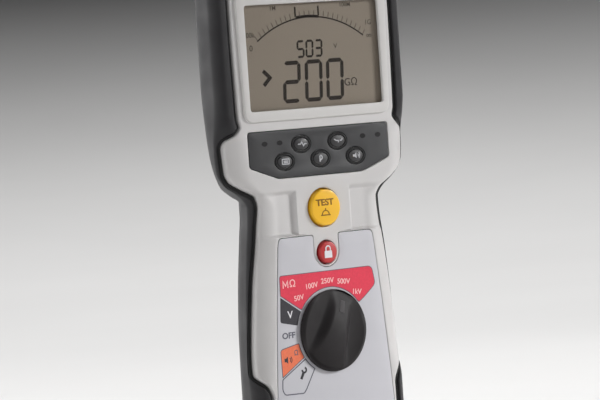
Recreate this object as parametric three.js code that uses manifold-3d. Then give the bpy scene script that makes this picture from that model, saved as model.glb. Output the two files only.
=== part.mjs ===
// Hand-held insulation resistance tester, standing on its bottom end.
// Millimetres, +Z up. The face of the tester looks along -Y, X is to the right seen from the front.
// Inside the "body" group, y is the depth behind the flat face: 0 on the face, positive towards the back.
import * as THREE from "three";
import { mergeVertices } from "three/addons/utils/BufferGeometryUtils.js";
import Module from "manifold-3d";

const wasm = await Module();
wasm.setup();

// ---------------------------------------------------------------- driving dimensions
const LENGTH = 228; // bottom end to top end
const BODY_DEPTH = 47; // flat face to flat back
const KNOB_TOP = 5; // how far the range knob stands in front of the flat face
const FACE_Y = -(BODY_DEPTH - KNOB_TOP) / 2; // puts the whole depth evenly about y = 0
const GAP = 0.3; // clearance between neighbouring pieces
const FACE_WALL = 3; // thickness of the front wall
const SIDE_WALL = 2.6; // thickness of the other walls
const SPLIT = 20; // depth where the front half ends and the rear half starts
const SKIRT_START = 8; // depth where the pale shell steps in behind the rubber
const GROOVE = 2; // width of the dark groove between pale shell and rubber
const SIDE_SLOPE = 0.72; // how much the flanks lean in, per mm of depth
const END_ROUND = 5; // rounding of the two ends, seen from the side
const BOTTOM_CORNER = 12; // corner radius of the bottom end, seen from the front
const TOP_CORNER = 15; // corner radius of the top end
const AA_RADIUS = 7.15;
const AA_LENGTH = 49.8;

// half widths at heights, [z, half width]: the outer skin, the flanks, the flat face and the pale shell
const SKIN = [[0, 42.4], [36, 42.4], [50, 42], [72, 40.6], [89.5, 39], [107, 37], [112, 36.8], [115, 38.4],
  [118, 41.8], [121, 46], [124.5, 50], [129, 52], [137, 52.6], [LENGTH, 52.6]];
const FLANK = [[0, 41.4], [28, 41.4], [50, 41.1], [72, 39.8], [98, 36.9], [107, 35.9], [114, 35.9],
  [117.6, 41.1], [121, 46.2], [126, 48.5], [137, 49.8], [148, 51.3], [166, 52.4], [LENGTH, 52.4]];
const FLAT = [[0, 36.5], [29, 36.5], [38, 33.5], [50, 31.3], [64, 30], [92, 27.3], [105, 26.2], [112, 26.5],
  [117, 31], [121, 37], [127, 40.2], [140, 41.5], [149, 47], [158, 49], [LENGTH, 49]];
const SHOULDER_DEPTH = [[0, 7], [30, 7], [42, 8], [140, 8], [150, 6.5], [160, 5.5], [LENGTH, 5.5]];
const PALE = [[7, 34.4], [27, 34.4], [32, 36], [38, 40.4], [43, 40.3], [74, 37.9], [104, 33.8], [112, 33],
  [116.5, 34.9], [120.7, 42], [124, 46.8], [128, 49], [135, 49.7], [139, 49.9], [142, 49], [144.5, 45.2],
  [148, 42.7], [152, 43.6], [200, 44.3], [214, 44.3]];
const PALE_BOTTOM = 7;
const PALE_TOP = 214;

// what is on the face
const TEST = { x: 0, z: 109.3, radius: 8.85 };
const LOCK = { x: 0, z: 89.2, radius: 5.56 };
const KNOB = { x: 0, z: 54.1, radius: 18.4, step: 22.5 };
const KEYS = [["key_upper_left", -10.2, 138.5], ["key_upper_right", 10.2, 138.5], ["key_lower_left", -20, 131.2],
  ["key_lower_centre", 0, 131.2], ["key_lower_right", 20, 131.2]];
const WINDOW = { half: 37.3, low: 154.2, high: 201 };

// ---------------------------------------------------------------- materials
const paint = (color, roughness = 0.6, metalness = 0) =>
  new THREE.MeshStandardMaterial({ color, roughness, metalness });
const finish = {
  pale: paint(0xcfccce, 0.55),
  rubber: paint(0x464446, 0.8),
  black: paint(0x1c1b1d, 0.7),
  charcoal: paint(0x48474a, 0.6),
  lcd: paint(0x8c8276, 0.35),
  clear: paint(0xd8dcdc, 0.1),
  label: paint(0xc6c6cd, 0.5),
  yellow: paint(0xfac83c, 0.45),
  red: paint(0xc83c3c, 0.45),
  keycap: paint(0x7d7a7d, 0.6),
  steel: paint(0xb8babd, 0.3, 1),
  brass: paint(0xc9a24a, 0.35, 1),
  board: paint(0x2f6b3c, 0.5),
  ferrite: paint(0x55504d, 0.7),
  cell: paint(0x9a8a52, 0.4, 0.6),
  glass: paint(0xe8eef0, 0.1),
};

// ---------------------------------------------------------------- solids
function solid(geometry) {
  const bare = geometry.index ? geometry.toNonIndexed() : geometry.clone();
  bare.deleteAttribute("normal");
  bare.deleteAttribute("uv");
  const merged = mergeVertices(bare, 1e-4);
  return new wasm.Manifold(new wasm.Mesh({
    numProp: 3,
    vertProperties: new Float32Array(merged.attributes.position.array),
    triVerts: new Uint32Array(merged.index.array),
  }));
}

function geometryOf(shape) {
  const mesh = shape.getMesh();
  const geometry = new THREE.BufferGeometry();
  geometry.setAttribute("position", new THREE.BufferAttribute(new Float32Array(mesh.vertProperties), 3));
  geometry.setIndex(new THREE.BufferAttribute(new Uint32Array(mesh.triVerts), 1));
  return geometry;
}

const joined = (shapes) => shapes.reduce((whole, shape) => whole.add(shape));
const without = (shape, cutters) => cutters.reduce((rest, cutter) => rest.subtract(cutter), shape);

function block([x0, x1], [y0, y1], [z0, z1]) {
  const box = new THREE.BoxGeometry(x1 - x0, y1 - y0, z1 - z0);
  box.translate((x0 + x1) / 2, (y0 + y1) / 2, (z0 + z1) / 2);
  return solid(box);
}

// a round bar from depth y0 to y1, or along X or Z, centred on the two other coordinates
function barY(radius, [y0, y1], x, z, sides = 24, radiusBack = radius) {
  const bar = new THREE.CylinderGeometry(radiusBack, radius, y1 - y0, sides);
  bar.translate(x, (y0 + y1) / 2, 0);
  bar.translate(0, 0, z);
  return solid(bar);
}

function barX(radius, [x0, x1], y, z, sides = 16) {
  const bar = new THREE.CylinderGeometry(radius, radius, x1 - x0, sides);
  bar.rotateZ(Math.PI / 2);
  bar.translate((x0 + x1) / 2, y, z);
  return solid(bar);
}

function barZ(radius, [z0, z1], x, y, sides = 24) {
  const bar = new THREE.CylinderGeometry(radius, radius, z1 - z0, sides);
  bar.rotateX(Math.PI / 2);
  bar.translate(x, y, (z0 + z1) / 2);
  return solid(bar);
}

// an outline drawn in x and z, pushed from depth y0 to y1
function slab(outline, [y0, y1], holes = []) {
  const shape = new THREE.Shape(outline.map(([x, z]) => new THREE.Vector2(x, z)));
  shape.holes = holes.map((hole) => new THREE.Path(hole.map(([x, z]) => new THREE.Vector2(x, z))));
  const pushed = new THREE.ExtrudeGeometry(shape, { depth: y1 - y0, bevelEnabled: false });
  pushed.rotateX(Math.PI / 2);
  pushed.translate(0, y1, 0);
  return solid(pushed);
}

function ellipse(x, z, halfX, halfZ, sides = 16) {
  return Array.from({ length: sides }, (_, k) => {
    const turn = (2 * Math.PI * k) / sides;
    return [x + halfX * Math.cos(turn), z + halfZ * Math.sin(turn)];
  });
}

function roundedPanel([x0, x1], [z0, z1], radius, steps = 4) {
  const centres = [[x1 - radius, z1 - radius], [x0 + radius, z1 - radius],
    [x0 + radius, z0 + radius], [x1 - radius, z0 + radius]];
  return centres.flatMap(([x, z], corner) => Array.from({ length: steps + 1 }, (_, k) => {
    const turn = (Math.PI / 2) * (corner + k / steps);
    return [x + radius * Math.cos(turn), z + radius * Math.sin(turn)];
  }));
}

// a smooth curve through [z, value] points that never overshoots them
function smooth(points) {
  const slope = (k) => (points[k + 1][1] - points[k][1]) / (points[k + 1][0] - points[k][0]);
  const tangent = points.map((_, k) => {
    if (k === 0 || k === points.length - 1) return 0;
    const before = slope(k - 1);
    const after = slope(k);
    return before * after <= 0 ? 0 : (2 * before * after) / (before + after);
  });
  return (z) => {
    const last = points.length - 1;
    if (z <= points[0][0]) return points[0][1];
    if (z >= points[last][0]) return points[last][1];
    const k = points.findIndex((point) => point[0] > z) - 1;
    const span = points[k + 1][0] - points[k][0];
    const t = (z - points[k][0]) / span;
    return points[k][1] * (1 + 2 * t) * (1 - t) ** 2 + points[k + 1][1] * t * t * (3 - 2 * t)
      + span * (tangent[k] * t * (1 - t) ** 2 - tangent[k + 1] * t * t * (1 - t));
  };
}

// how far a corner of this radius has pulled in at a distance from the end
function cornerDrop(distance, radius) {
  if (distance >= radius) return 0;
  const rest = radius - Math.max(distance, 0);
  return radius - Math.sqrt(radius * radius - rest * rest);
}

const skinAt = smooth(SKIN);
const flankAt = smooth(FLANK);
const flatAt = smooth(FLAT);
const shoulderAt = smooth(SHOULDER_DEPTH);
const paleAt = smooth(PALE);

// one level section of the whole body, with all its faces moved in by inset
function bodySection(z, inset) {
  const corner = cornerDrop(z - inset, BOTTOM_CORNER) + cornerDrop(LENGTH - inset - z, TOP_CORNER);
  const end = cornerDrop(z - inset, END_ROUND) + cornerDrop(LENGTH - inset - z, END_ROUND);
  const width = skinAt(z) - inset - corner;
  const front = inset + end;
  const back = BODY_DEPTH - inset - end;
  const flat = Math.min(flatAt(z) - inset / 2 - corner, width - 3);
  const shoulder = Math.max(shoulderAt(z) + inset / 2, front + 2.5);
  const flank = (y) => flankAt(z) - inset - corner - SIDE_SLOPE * (y - 15);
  const half = [[flat, front]];
  for (const u of [0.35, 0.65, 0.87, 1]) {
    const fall = 1 - (1 - u ** 1.6) ** (1 / 1.5);
    half.push([flat + (width - flat) * u, front + (shoulder - front) * fall]);
  }
  half.push([Math.min(width, flank(13) - 0.2), 13]);
  half.push([flank(16.5) - 0.3, 16.5]);
  half.push([flank(21.5) - 0.3, 21.5]);
  half.push([flank(back - 3) - 0.3, back - 3]);
  half.push([flank(back - 0.9) - 1, back - 0.9]);
  half.push([flank(back) - 4.2, back]);
  return [...half, ...half.toReversed().map(([x, y]) => [-x, y])];
}

// joins level sections into one closed skin
function loft(levels, sectionAt) {
  const rings = levels.map((z) => sectionAt(z));
  const count = rings[0].length;
  const position = rings.flatMap((ring, level) => ring.flatMap(([x, y]) => [x, y, levels[level]]));
  const index = [];
  for (let level = 0; level < levels.length - 1; level++) {
    for (let k = 0; k < count; k++) {
      const here = level * count + k;
      const next = level * count + ((k + 1) % count);
      index.push(here, next, next + count, here, next + count, here + count);
    }
  }
  const top = (levels.length - 1) * count;
  const capOf = (ring) => THREE.ShapeUtils.triangulateShape(ring.map(([x, y]) => new THREE.Vector2(x, y)), []);
  for (const [a, b, c] of capOf(rings[0])) index.push(a, c, b);
  for (const [a, b, c] of capOf(rings[levels.length - 1])) index.push(top + a, top + b, top + c);
  const geometry = new THREE.BufferGeometry();
  geometry.setAttribute("position", new THREE.Float32BufferAttribute(position, 3));
  geometry.setIndex(index);
  return solid(geometry);
}

function bodySolid(inset) {
  const ends = [0, 0.6, 1.8, 3.4, END_ROUND];
  const levels = [...ends.map((z) => z + inset), 12, 30, 38, 46, 78, 104, 112, 115, 117.5, 120, 122.5, 126, 131,
    138, 148, 160, 213, 219, ...ends.map((z) => LENGTH - inset - z)];
  return loft([...new Set(levels)].sort((a, b) => a - b), (z) => bodySection(z, inset));
}

// the front view outline of the pale shell, moved out by grow
function paleOutline(grow) {
  const levels = [PALE_BOTTOM, 8, 11, 27, 30, 33, 36, 43, 74, 104, 112, 115, 118, 120.5, 123, 127, 132, 138, 141,
    143.5, 145.5, 148, 152, 200, 207, 211.5, PALE_TOP];
  const halfWidth = (z) => paleAt(z) - cornerDrop(z - PALE_BOTTOM, 4) - cornerDrop(PALE_TOP - z, 7);
  const right = levels.map((z) => new THREE.Vector2(halfWidth(z), z));
  const moved = right.map((point, k) => {
    const before = right[Math.max(k - 1, 0)];
    const after = right[Math.min(k + 1, right.length - 1)];
    const along = after.clone().sub(before).normalize();
    return [point.x + grow * along.y, point.y - grow * along.x];
  });
  moved[0] = [right[0].x + grow * 0.4, PALE_BOTTOM - grow];
  moved[moved.length - 1] = [right.at(-1).x + grow * 0.4, PALE_TOP + grow];
  return [...moved, ...moved.toReversed().map(([x, z]) => [-x, z])];
}

// the front view outline of the skirt, a fixed distance inside the outer skin
function skirtOutline(inside) {
  const levels = [inside, inside + 0.8, inside + 2, 12, 36, 60, 89, 104, 112, 115, 118, 121, 124.5, 129, 137, 160,
    212, 217, LENGTH - inside - 2, LENGTH - inside - 0.8, LENGTH - inside];
  const halfWidth = (z) => skinAt(z) - inside
    - cornerDrop(z - inside, BOTTOM_CORNER - 4) - cornerDrop(LENGTH - inside - z, TOP_CORNER - 5);
  const right = levels.map((z) => [halfWidth(z), z]);
  return [...right, ...right.toReversed().map(([x, z]) => [-x, z])];
}

const skirt = (inside, depths) => slab(skirtOutline(inside), depths);
const whole = bodySolid(0);
const hollow = bodySolid(FACE_WALL);
const SKIRT_INSIDE = 4.6;
const RUBBER_SKIN = 1.2; // least thickness of the rubber over the pale shell's skirt

// ---------------------------------------------------------------- case
const CASE_SCREWS = [[-37.8, 208.4], [37.8, 208.4], [-25.8, 15], [25.8, 15]];
const TERMINAL_BAY = [[-31, 31], [12, 33], [214, 227.4]];
const COVER_Z = [4.5, 114];
const BAY_FLOOR = 24.3;
const widen = ([low, high], by) => [low - by, high + by];
const terminalBay = block(widen(TERMINAL_BAY[0], GAP), widen(TERMINAL_BAY[1], GAP), [214 - GAP, 240]);

function frontCase() {
  const face = slab(paleOutline(0), [-1, SKIRT_START + 0.4]);
  const rim = skirt(SKIRT_INSIDE, [SKIRT_START, SPLIT]).intersect(bodySolid(RUBBER_SKIN + GAP));
  const shell = whole.intersect(joined([face, rim]));
  const narrow = skirt(SKIRT_INSIDE + SIDE_WALL, [-1, 30]);
  const room = hollow.intersect(slab(paleOutline(-SIDE_WALL), [-1, 30]).intersect(narrow)
    .add(skirt(SKIRT_INSIDE + SIDE_WALL, [SKIRT_START + SIDE_WALL, 30])));
  const bosses = CASE_SCREWS.map(([x, z]) => barY(3.7, [FACE_WALL - 1, SPLIT], x, z, 16));
  const cuts = [
    terminalBay,
    ...CASE_SCREWS.map(([x, z]) => barY(1.8, [10, 30], x, z, 12)),
    slab(roundedPanel([-38.9, 38.9], [152.6, 202.6], 2), [-5, 10]),
    slab(fasciaOutline(GAP), [-5, 1]),
    ...KEYS.map(([, x, z]) => slab(ellipse(x, z, 5.6, 4.1), [-5, 10])),
    barY(TEST.radius, [-5, 10], TEST.x, TEST.z, 28),
    barY(LOCK.radius, [-5, 10], LOCK.x, LOCK.z, 24),
    slab(labelOutline(GAP), [-5, 0.7]),
    barY(3.8, [-5, 10], KNOB.x, KNOB.z, 20),
    barY(5.2, [1.6, 10], KNOB.x, KNOB.z, 24),
    ...[-1, 1].map((side) => thumbPocket(side)),
  ];
  const cleared = shell.subtract(room).add(joined(bosses).intersect(whole));
  return without(cleared, cuts);
}

// the shallow scoop on each side of the test button
function thumbPocket(side) {
  const outline = roundedPanel([15.6, 34], [98.4, 118], 3).map(([x, z]) => [x * side, z]);
  return slab(side > 0 ? outline : outline.toReversed(), [-5, 1.5]);
}

function overmould() {
  const front = whole.subtract(block([-99, 99], [SPLIT, 99], [-9, 240]));
  return without(front, [
    slab(paleOutline(GROOVE), [-5, SKIRT_START + 0.7]),
    skirt(SKIRT_INSIDE - GAP, [SKIRT_START - GAP, 40]).intersect(bodySolid(RUBBER_SKIN)),
    terminalBay,
  ]);
}

function caseSeal() {
  const ring = slab(paleOutline(GROOVE - GAP), [-5, SKIRT_START - GAP]).subtract(slab(paleOutline(GAP), [-9, 30]));
  return ring.intersect(bodySolid(0.6));
}

function rearCase() {
  const back = whole.subtract(block([-99, 99], [-9, SPLIT + GAP], [-9, 240]));
  const room = bodySolid(SIDE_WALL).intersect(block([-99, 99], [-9, 40.2], [COVER_Z[1] + GAP + SIDE_WALL, 240]));
  const pillars = CASE_SCREWS.slice(0, 2).map(([x, z]) => barY(4.6, [SPLIT + GAP, 40], x, z, 16).intersect(back));
  const cuts = [
    terminalBay,
    block([-99, 99], [BAY_FLOOR, 99], widen(COVER_Z, GAP)),
    block([-STAND.half - GAP, STAND.half + GAP], [STAND.front - 0.4, 99], [STAND.low - GAP, STAND.high + 0.6]),
    slab(roundedPanel([-9, 9], [117, 125], 2.5), [STAND.front - 0.4, 60]),
    barX(STAND.rod + GAP, [-STAND.half - 3.6, STAND.half + 3.6], STAND.axisY, STAND.axisZ),
    ...CASE_SCREWS.slice(0, 2).flatMap(([x, z]) => [barY(1.8, [10, 60], x, z, 12), barY(3.3, [24.6, 60], x, z, 16)]),
    ...CASE_SCREWS.slice(2).map(([x, z]) => barY(1.8, [10, 60], x, z, 12)),
    barY(1.6, [10, 60], 0, COVER_SCREW_Z, 12),
    block([-8, 8], [10, 60], [60, 66]),
  ];
  return without(back.subtract(room).add(joined(pillars)), cuts);
}

// ---------------------------------------------------------------- battery bay and stand
const COVER_SCREW_Z = 84;
const STAND = { half: 22, front: 43, back: 46.8, low: 122, high: 199.9, axisY: 44.9, axisZ: 198, rod: 1.1 };

function batteryCover() {
  const outer = whole.intersect(block([-99, 99], [BAY_FLOOR + GAP, 99], COVER_Z));
  const inner = bodySolid(2.4).intersect(block([-99, 99], [0, 99], widen(COVER_Z, -2.4)));
  const screwPost = barY(3.4, [38, BODY_DEPTH], 0, COVER_SCREW_Z, 16).intersect(block([-4, 4], [41, 46.9], [70, 99]));
  return without(outer.subtract(inner).add(screwPost), [
    barY(1.7, [10, 60], 0, COVER_SCREW_Z, 12),
    barY(2.9, [44.4, 60], 0, COVER_SCREW_Z, 16),
  ]);
}

function batteryCoverSeal() {
  const band = [BAY_FLOOR + GAP, BAY_FLOOR + 1.8];
  const outer = bodySolid(2.8).intersect(block([-99, 99], band, widen(COVER_Z, -2.8)));
  const inner = bodySolid(4).intersect(block([-99, 99], [0, 99], widen(COVER_Z, -4)));
  return outer.subtract(inner);
}

function cell(x, z) {
  const y = BAY_FLOOR + 0.4 + AA_RADIUS;
  const can = barZ(AA_RADIUS, [z, z + AA_LENGTH - 1.6], x, y, 20);
  return can.add(barZ(2.7, [z + 10, z + AA_LENGTH], x, y, 12));
}

// a bent spring-steel strip at one end of the row of cells
function contactStrip(half, [z0, z1]) {
  return block([-half, half], [27, 36.5], [z0, z1]);
}

function tiltStand() {
  const plate = block([-STAND.half, STAND.half], [STAND.front, STAND.back], [STAND.low, STAND.axisZ]);
  const hub = barX((STAND.back - STAND.front) / 2, [-STAND.half, STAND.half], STAND.axisY, STAND.axisZ, 20);
  const hollowed = block([-STAND.half + 5, STAND.half - 5], [STAND.front - 1, STAND.front + 1.6],
    [STAND.low + 5, STAND.axisZ - 8]);
  return without(plate.add(hub), [
    barX(STAND.rod + GAP, [-40, 40], STAND.axisY, STAND.axisZ, 12),
    hollowed,
  ]);
}

function screw([y0, y1], headHeight, headRadius, shankRadius, x, z) {
  const head = barY(headRadius, [y1 - headHeight, y1], x, z, 18);
  const slot = block([x - headRadius, x + headRadius], [y1 - 1, y1 + 1], [z - 0.45, z + 0.45]);
  const cross = block([x - 0.45, x + 0.45], [y1 - 1, y1 + 1], [z - headRadius * 0.7, z + headRadius * 0.7]);
  const shank = barY(shankRadius, [y0, y1 - headHeight / 2], x, z, 12);
  const wings = slot.intersect(barY(headRadius * 0.7, [y1 - 2, y1 + 2], x, z, 16));
  return without(head.add(shank), [wings, cross]);
}

// ---------------------------------------------------------------- display and keypad
function displayBezel() {
  const outer = [[-40.6, 149.3], [40.6, 149.3], [42.2, 206.3], [-42.2, 206.3]];
  const rounded = roundQuad(outer, 5);
  const opening = roundedPanel([-WINDOW.half, WINDOW.half], [WINDOW.low, WINDOW.high], 1.5, 3);
  return slab(rounded, [-1.2, -GAP], [opening.toReversed()]);
}

// rounds the corners of a convex outline
function roundQuad(corners, radius, steps = 4) {
  const points = corners.map(([x, z]) => new THREE.Vector2(x, z));
  return points.flatMap((point, k) => {
    const toBefore = points.at(k - 1).clone().sub(point).normalize();
    const toAfter = points[(k + 1) % points.length].clone().sub(point).normalize();
    const start = point.clone().addScaledVector(toBefore, radius);
    const end = point.clone().addScaledVector(toAfter, radius);
    const bend = new THREE.QuadraticBezierCurve(start, point, end);
    return bend.getPoints(steps).map((spot) => [spot.x, spot.y]);
  });
}

function fasciaOutline(grow) {
  const top = 145.1 + grow;
  const side = 39.2 + grow;
  return roundQuad([[-23.6 - grow / 2, 124 - grow], [23.6 + grow / 2, 124 - grow], [side, 129.5 - grow / 2],
    [side, top], [-side, top], [-side, 129.5 - grow / 2]], 1.6, 3);
}

function keypadFascia() {
  return slab(fasciaOutline(0), [0, 0.7], KEYS.map(([, x, z]) => ellipse(x, z, 5.5, 4).toReversed()));
}

function key(x, z) {
  return joined([
    slab(ellipse(x, z, 4, 2.55), [-1.3, -0.8]),
    slab(ellipse(x, z, 4.4, 2.9), [-0.9, 2]),
    slab(ellipse(x, z, 5.2, 3.7), [1.6, 3.8]),
    slab(ellipse(x, z, 6.3, 4.8), [FACE_WALL + 0.4, 4.2]),
  ]);
}

function keypadMat() {
  const sheet = slab(roundedPanel([-28, 28], [125.2, 144.4], 2, 2), [6.2, 7]);
  return joined([sheet, ...KEYS.map(([, x, z]) => barY(2.2, [5.6, 6.4], x, z, 14, 3))]);
}

// ---------------------------------------------------------------- buttons
function roundButton({ x, z, radius }, height, flange) {
  const cap = radius - 0.55;
  return joined([
    barY(cap - 0.8, [-height, 0], x, z, 24, cap),
    barY(cap, [-height + 0.7, 3.6], x, z, 24),
    barY(radius + flange, [FACE_WALL + 0.4, 4.6], x, z, 24),
    barY(1.5, [4.4, 6], x, z, 12),
  ]);
}

class Helix extends THREE.Curve {
  constructor(radius, turns, from, to) {
    super();
    Object.assign(this, { radius, turns, from, to });
  }

  getPoint(t) {
    const turn = 2 * Math.PI * this.turns * t;
    return new THREE.Vector3(this.radius * Math.cos(turn), this.from + (this.to - this.from) * t,
      this.radius * Math.sin(turn));
  }
}

function coilSpring({ x, z }, radius, wire, turns, from, to) {
  const round = new THREE.Shape(ellipse(0, 0, wire, wire, 5).map(([u, v]) => new THREE.Vector2(u, v)));
  const path = new Helix(radius, turns, from + wire, to - wire);
  const coil = new THREE.ExtrudeGeometry(round, { steps: Math.round(turns * 10), extrudePath: path });
  coil.translate(x, 0, z);
  return solid(coil);
}

function tactSwitch({ x, z }, half) {
  return block([x - half, x + half], [7.6, BOARD[0] - GAP], [z - half, z + half]).add(barY(1.1, [7, 8], x, z, 12));
}

// ---------------------------------------------------------------- control label
const LABEL = [[11, 33.4], [35, 31.9], [64, 29.7], [92, 27], [97.3, 26.2]];

function labelOutline(grow) {
  const [low, , , , high] = LABEL.map(([z]) => z);
  const side = LABEL.map(([z, half]) => [half + grow, z === low ? low - grow : z === high ? high + grow : z]);
  const notch = 7.2 - grow;
  const notchCentre = 89.7;
  const bowl = Array.from({ length: 9 }, (_, k) => {
    const turn = (-Math.PI * k) / 8;
    return [notch * Math.cos(turn), notchCentre + notch * Math.sin(turn)];
  });
  return [...side, [notch, high + grow], ...bowl, [-notch, high + grow],
    ...side.toReversed().map(([x, z]) => [-x, z])];
}

function controlLabel() {
  return slab(labelOutline(0), [0, 0.4], [ellipse(KNOB.x, KNOB.z, 4.4, 4.4).toReversed()]);
}

// ---------------------------------------------------------------- range knob and its switch
const KNOB_BASE = 0.6; // clearance between face and knob
const KNOB_RIM = 1; // height of the knob's edge over its base
const KNOB_BORE = -3.4; // depth the shaft's bore reaches inside the knob
const KNOB_CROWN = 4.4; // height of the grip bar at its highest

// height of the knob over its base: across is to the right of the pointer, along is towards it
function knobHeight(across, along) {
  const ease = (value) => value * value * (3 - 2 * value);
  const clamp = (value) => Math.min(Math.max(value, 0), 1);
  const side = Math.abs(across);
  const halfGrip = 2.9 + 0.0072 * Math.max(13 - along, 0) ** 2;
  const crown = KNOB_CROWN - 0.011 * (along + 2) ** 2 - 0.012 * Math.min(side, halfGrip) ** 2;
  const scoop = 0.9 + 0.02 * (side - 8.5) ** 2;
  const height = crown + (scoop - crown) * ease(clamp((side - halfGrip) / 4.6));
  const rim = ease(clamp((1 - Math.hypot(across, along) / KNOB.radius) / 0.12));
  return height > KNOB_RIM ? KNOB_RIM + (height - KNOB_RIM) * rim : height;
}

function rangeKnob() {
  const sides = 40;
  const rings = [0.15, 0.29, 0.42, 0.54, 0.66, 0.78, 0.89, 0.95, 1];
  const position = [0, -KNOB_BASE - knobHeight(0, 0), 0];
  for (const ring of rings) {
    for (let k = 0; k < sides; k++) {
      const turn = (2 * Math.PI * k) / sides;
      const across = KNOB.radius * ring * Math.cos(turn);
      const along = KNOB.radius * ring * Math.sin(turn);
      position.push(across, -KNOB_BASE - knobHeight(across, along), along);
    }
  }
  const skirtStart = position.length / 3;
  for (let k = 0; k < sides; k++) {
    const turn = (2 * Math.PI * k) / sides;
    position.push(KNOB.radius * Math.cos(turn), -KNOB_BASE, KNOB.radius * Math.sin(turn));
  }
  position.push(0, -KNOB_BASE, 0);
  const baseCentre = position.length / 3 - 1;
  const index = [];
  for (let k = 0; k < sides; k++) {
    const next = (k + 1) % sides;
    index.push(0, 1 + k, 1 + next);
    for (let ring = 0; ring < rings.length; ring++) {
      const inner = 1 + ring * sides;
      const outer = inner + sides;
      index.push(inner + k, outer + k, outer + next, inner + k, outer + next, inner + next);
    }
    index.push(baseCentre, skirtStart + next, skirtStart + k);
  }
  const geometry = new THREE.BufferGeometry();
  geometry.setAttribute("position", new THREE.Float32BufferAttribute(position, 3));
  geometry.setIndex(index);
  return without(solid(geometry), [
    barY(3 + GAP, [KNOB_BORE, 1], 0, 0, 20),
    pointerBlock(GAP),
  ]);
}

// the inlaid mark at the pointer end of the knob
const POINTER = { half: 1.5, floor: -1.3, start: 8.3, end: 14 };

function pointerBlock(grow) {
  return block([-POINTER.half - grow, POINTER.half + grow], [-20, POINTER.floor + grow],
    [POINTER.start - grow, POINTER.end + grow]);
}

function knobPointer() {
  const top = (along) => -KNOB_BASE - knobHeight(0, along);
  const { half, floor, start, end } = POINTER;
  const middle = (start + end) / 2;
  const mark = [[start, floor], [end, floor], [end, top(end)], [middle, top(middle)], [start, top(start)]];
  const shape = new THREE.Shape(mark.map(([z, y]) => new THREE.Vector2(z, y)));
  const pushed = new THREE.ExtrudeGeometry(shape, { depth: 2 * half, bevelEnabled: false });
  pushed.applyMatrix4(new THREE.Matrix4().makeBasis(new THREE.Vector3(0, 0, 1), new THREE.Vector3(0, 1, 0),
    new THREE.Vector3(-1, 0, 0)));
  pushed.translate(half, 0, 0);
  return solid(pushed);
}

const BOARD = [9, 10.6];

function knobShaft() {
  const flatSide = block([2.2, 9], [-9, 1.5], [-9, 9]);
  return without(barY(3, [KNOB_BORE + GAP, 8.6], 0, 0, 20), [flatSide]);
}

function switchRotor() {
  const lobes = 16;
  const star = Array.from({ length: lobes * 2 }, (_, k) => {
    const turn = (Math.PI * k) / lobes;
    const radius = k % 2 ? 6.6 : 7.6;
    return [radius * Math.sin(turn), radius * Math.cos(turn)];
  });
  const wheel = slab(star, [3.8, 6]);
  const disc = barY(12.5, [5.8, 7.4], 0, 0, 24);
  const wipers = [60, 180, 300].map((angle) => {
    const turn = THREE.MathUtils.degToRad(angle);
    return barY(1.2, [7, 8.4], 10 * Math.cos(turn), 10 * Math.sin(turn), 10);
  });
  return without(joined([wheel, disc, ...wipers]), [barY(3 + GAP, [0, 12], 0, 0, 20)]);
}

function switchHousing() {
  const ring = barY(16.2, [FACE_WALL + 0.4, BOARD[0] - GAP], KNOB.x, KNOB.z, 28);
  return without(ring, [
    barY(13.2, [5.2, 12], KNOB.x, KNOB.z, 24),
    barY(11.8, [2, 12], KNOB.x, KNOB.z, 24),
  ]);
}

// a bowed leaf whose hump rides over the lobes of the rotor
function detentSpring() {
  const hump = 7.9;
  const path = [[-5.4, 9.7], [-3.4, 9.9], [-1.5, 9.6], [0, hump + 0.35], [1.5, 9.6], [3.4, 9.9], [5.4, 9.7]];
  const thickness = 0.35;
  const under = path.map(([x, z]) => [x, z - thickness]).toReversed();
  return slab([...under.toReversed(), ...path.toReversed()].map(([x, z]) => [x + KNOB.x, KNOB.z - z]).toReversed(),
    [3.9, 5]);
}

function ringY(radius, half, y, x, z, sides = 16) {
  const ring = new THREE.TorusGeometry(radius, half, 6, sides);
  ring.rotateX(Math.PI / 2);
  ring.translate(x, y, z);
  return solid(ring);
}

// ---------------------------------------------------------------- electronics
function mainBoard() {
  const outline = [[-29, 12], [29, 12], [29, 122], [38, 134], [38, 203], [-38, 203], [-38, 134], [-29, 122]];
  const holes = CASE_SCREWS.map(([x, z]) => barY(4.6, BOARD.map((y, k) => y + (k ? 1 : -1)), x, z, 16));
  return without(slab(outline, BOARD), holes);
}

function transformer(x, z) {
  const back = BOARD[1] + GAP;
  const bobbin = block([x - 8, x + 8], [back, back + 7.6], [z - 7, z + 7]);
  const core = block([x - 10.5, x + 10.5], [back + 1.6, back + 6], [z - 10, z + 10]);
  return bobbin.add(core);
}

function capacitor(x, z) {
  const back = BOARD[1] + GAP;
  return barZ(4, [z - 10, z + 9], x, back + 4.2, 20).add(barZ(3.4, [z - 10, z + 10], x, back + 4.2, 20));
}

function buzzer(x, z) {
  const back = BOARD[1] + GAP;
  return barY(6, [back, back + 5], x, z, 24).subtract(barY(1, [back + 3, back + 9], x, z, 10));
}

const FUSE = { x: 22, z: 84, half: 16, y: BOARD[1] + 4.6 };

function fuse() {
  const tube = barZ(2.7, [FUSE.z - 14, FUSE.z + 14], FUSE.x, FUSE.y, 18);
  const caps = [-1, 1].map((end) => {
    const low = end < 0 ? FUSE.z - FUSE.half : FUSE.z + FUSE.half - 6;
    return barZ(3.15, [low, low + 6], FUSE.x, FUSE.y, 18);
  });
  return joined([tube, ...caps]);
}

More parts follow.
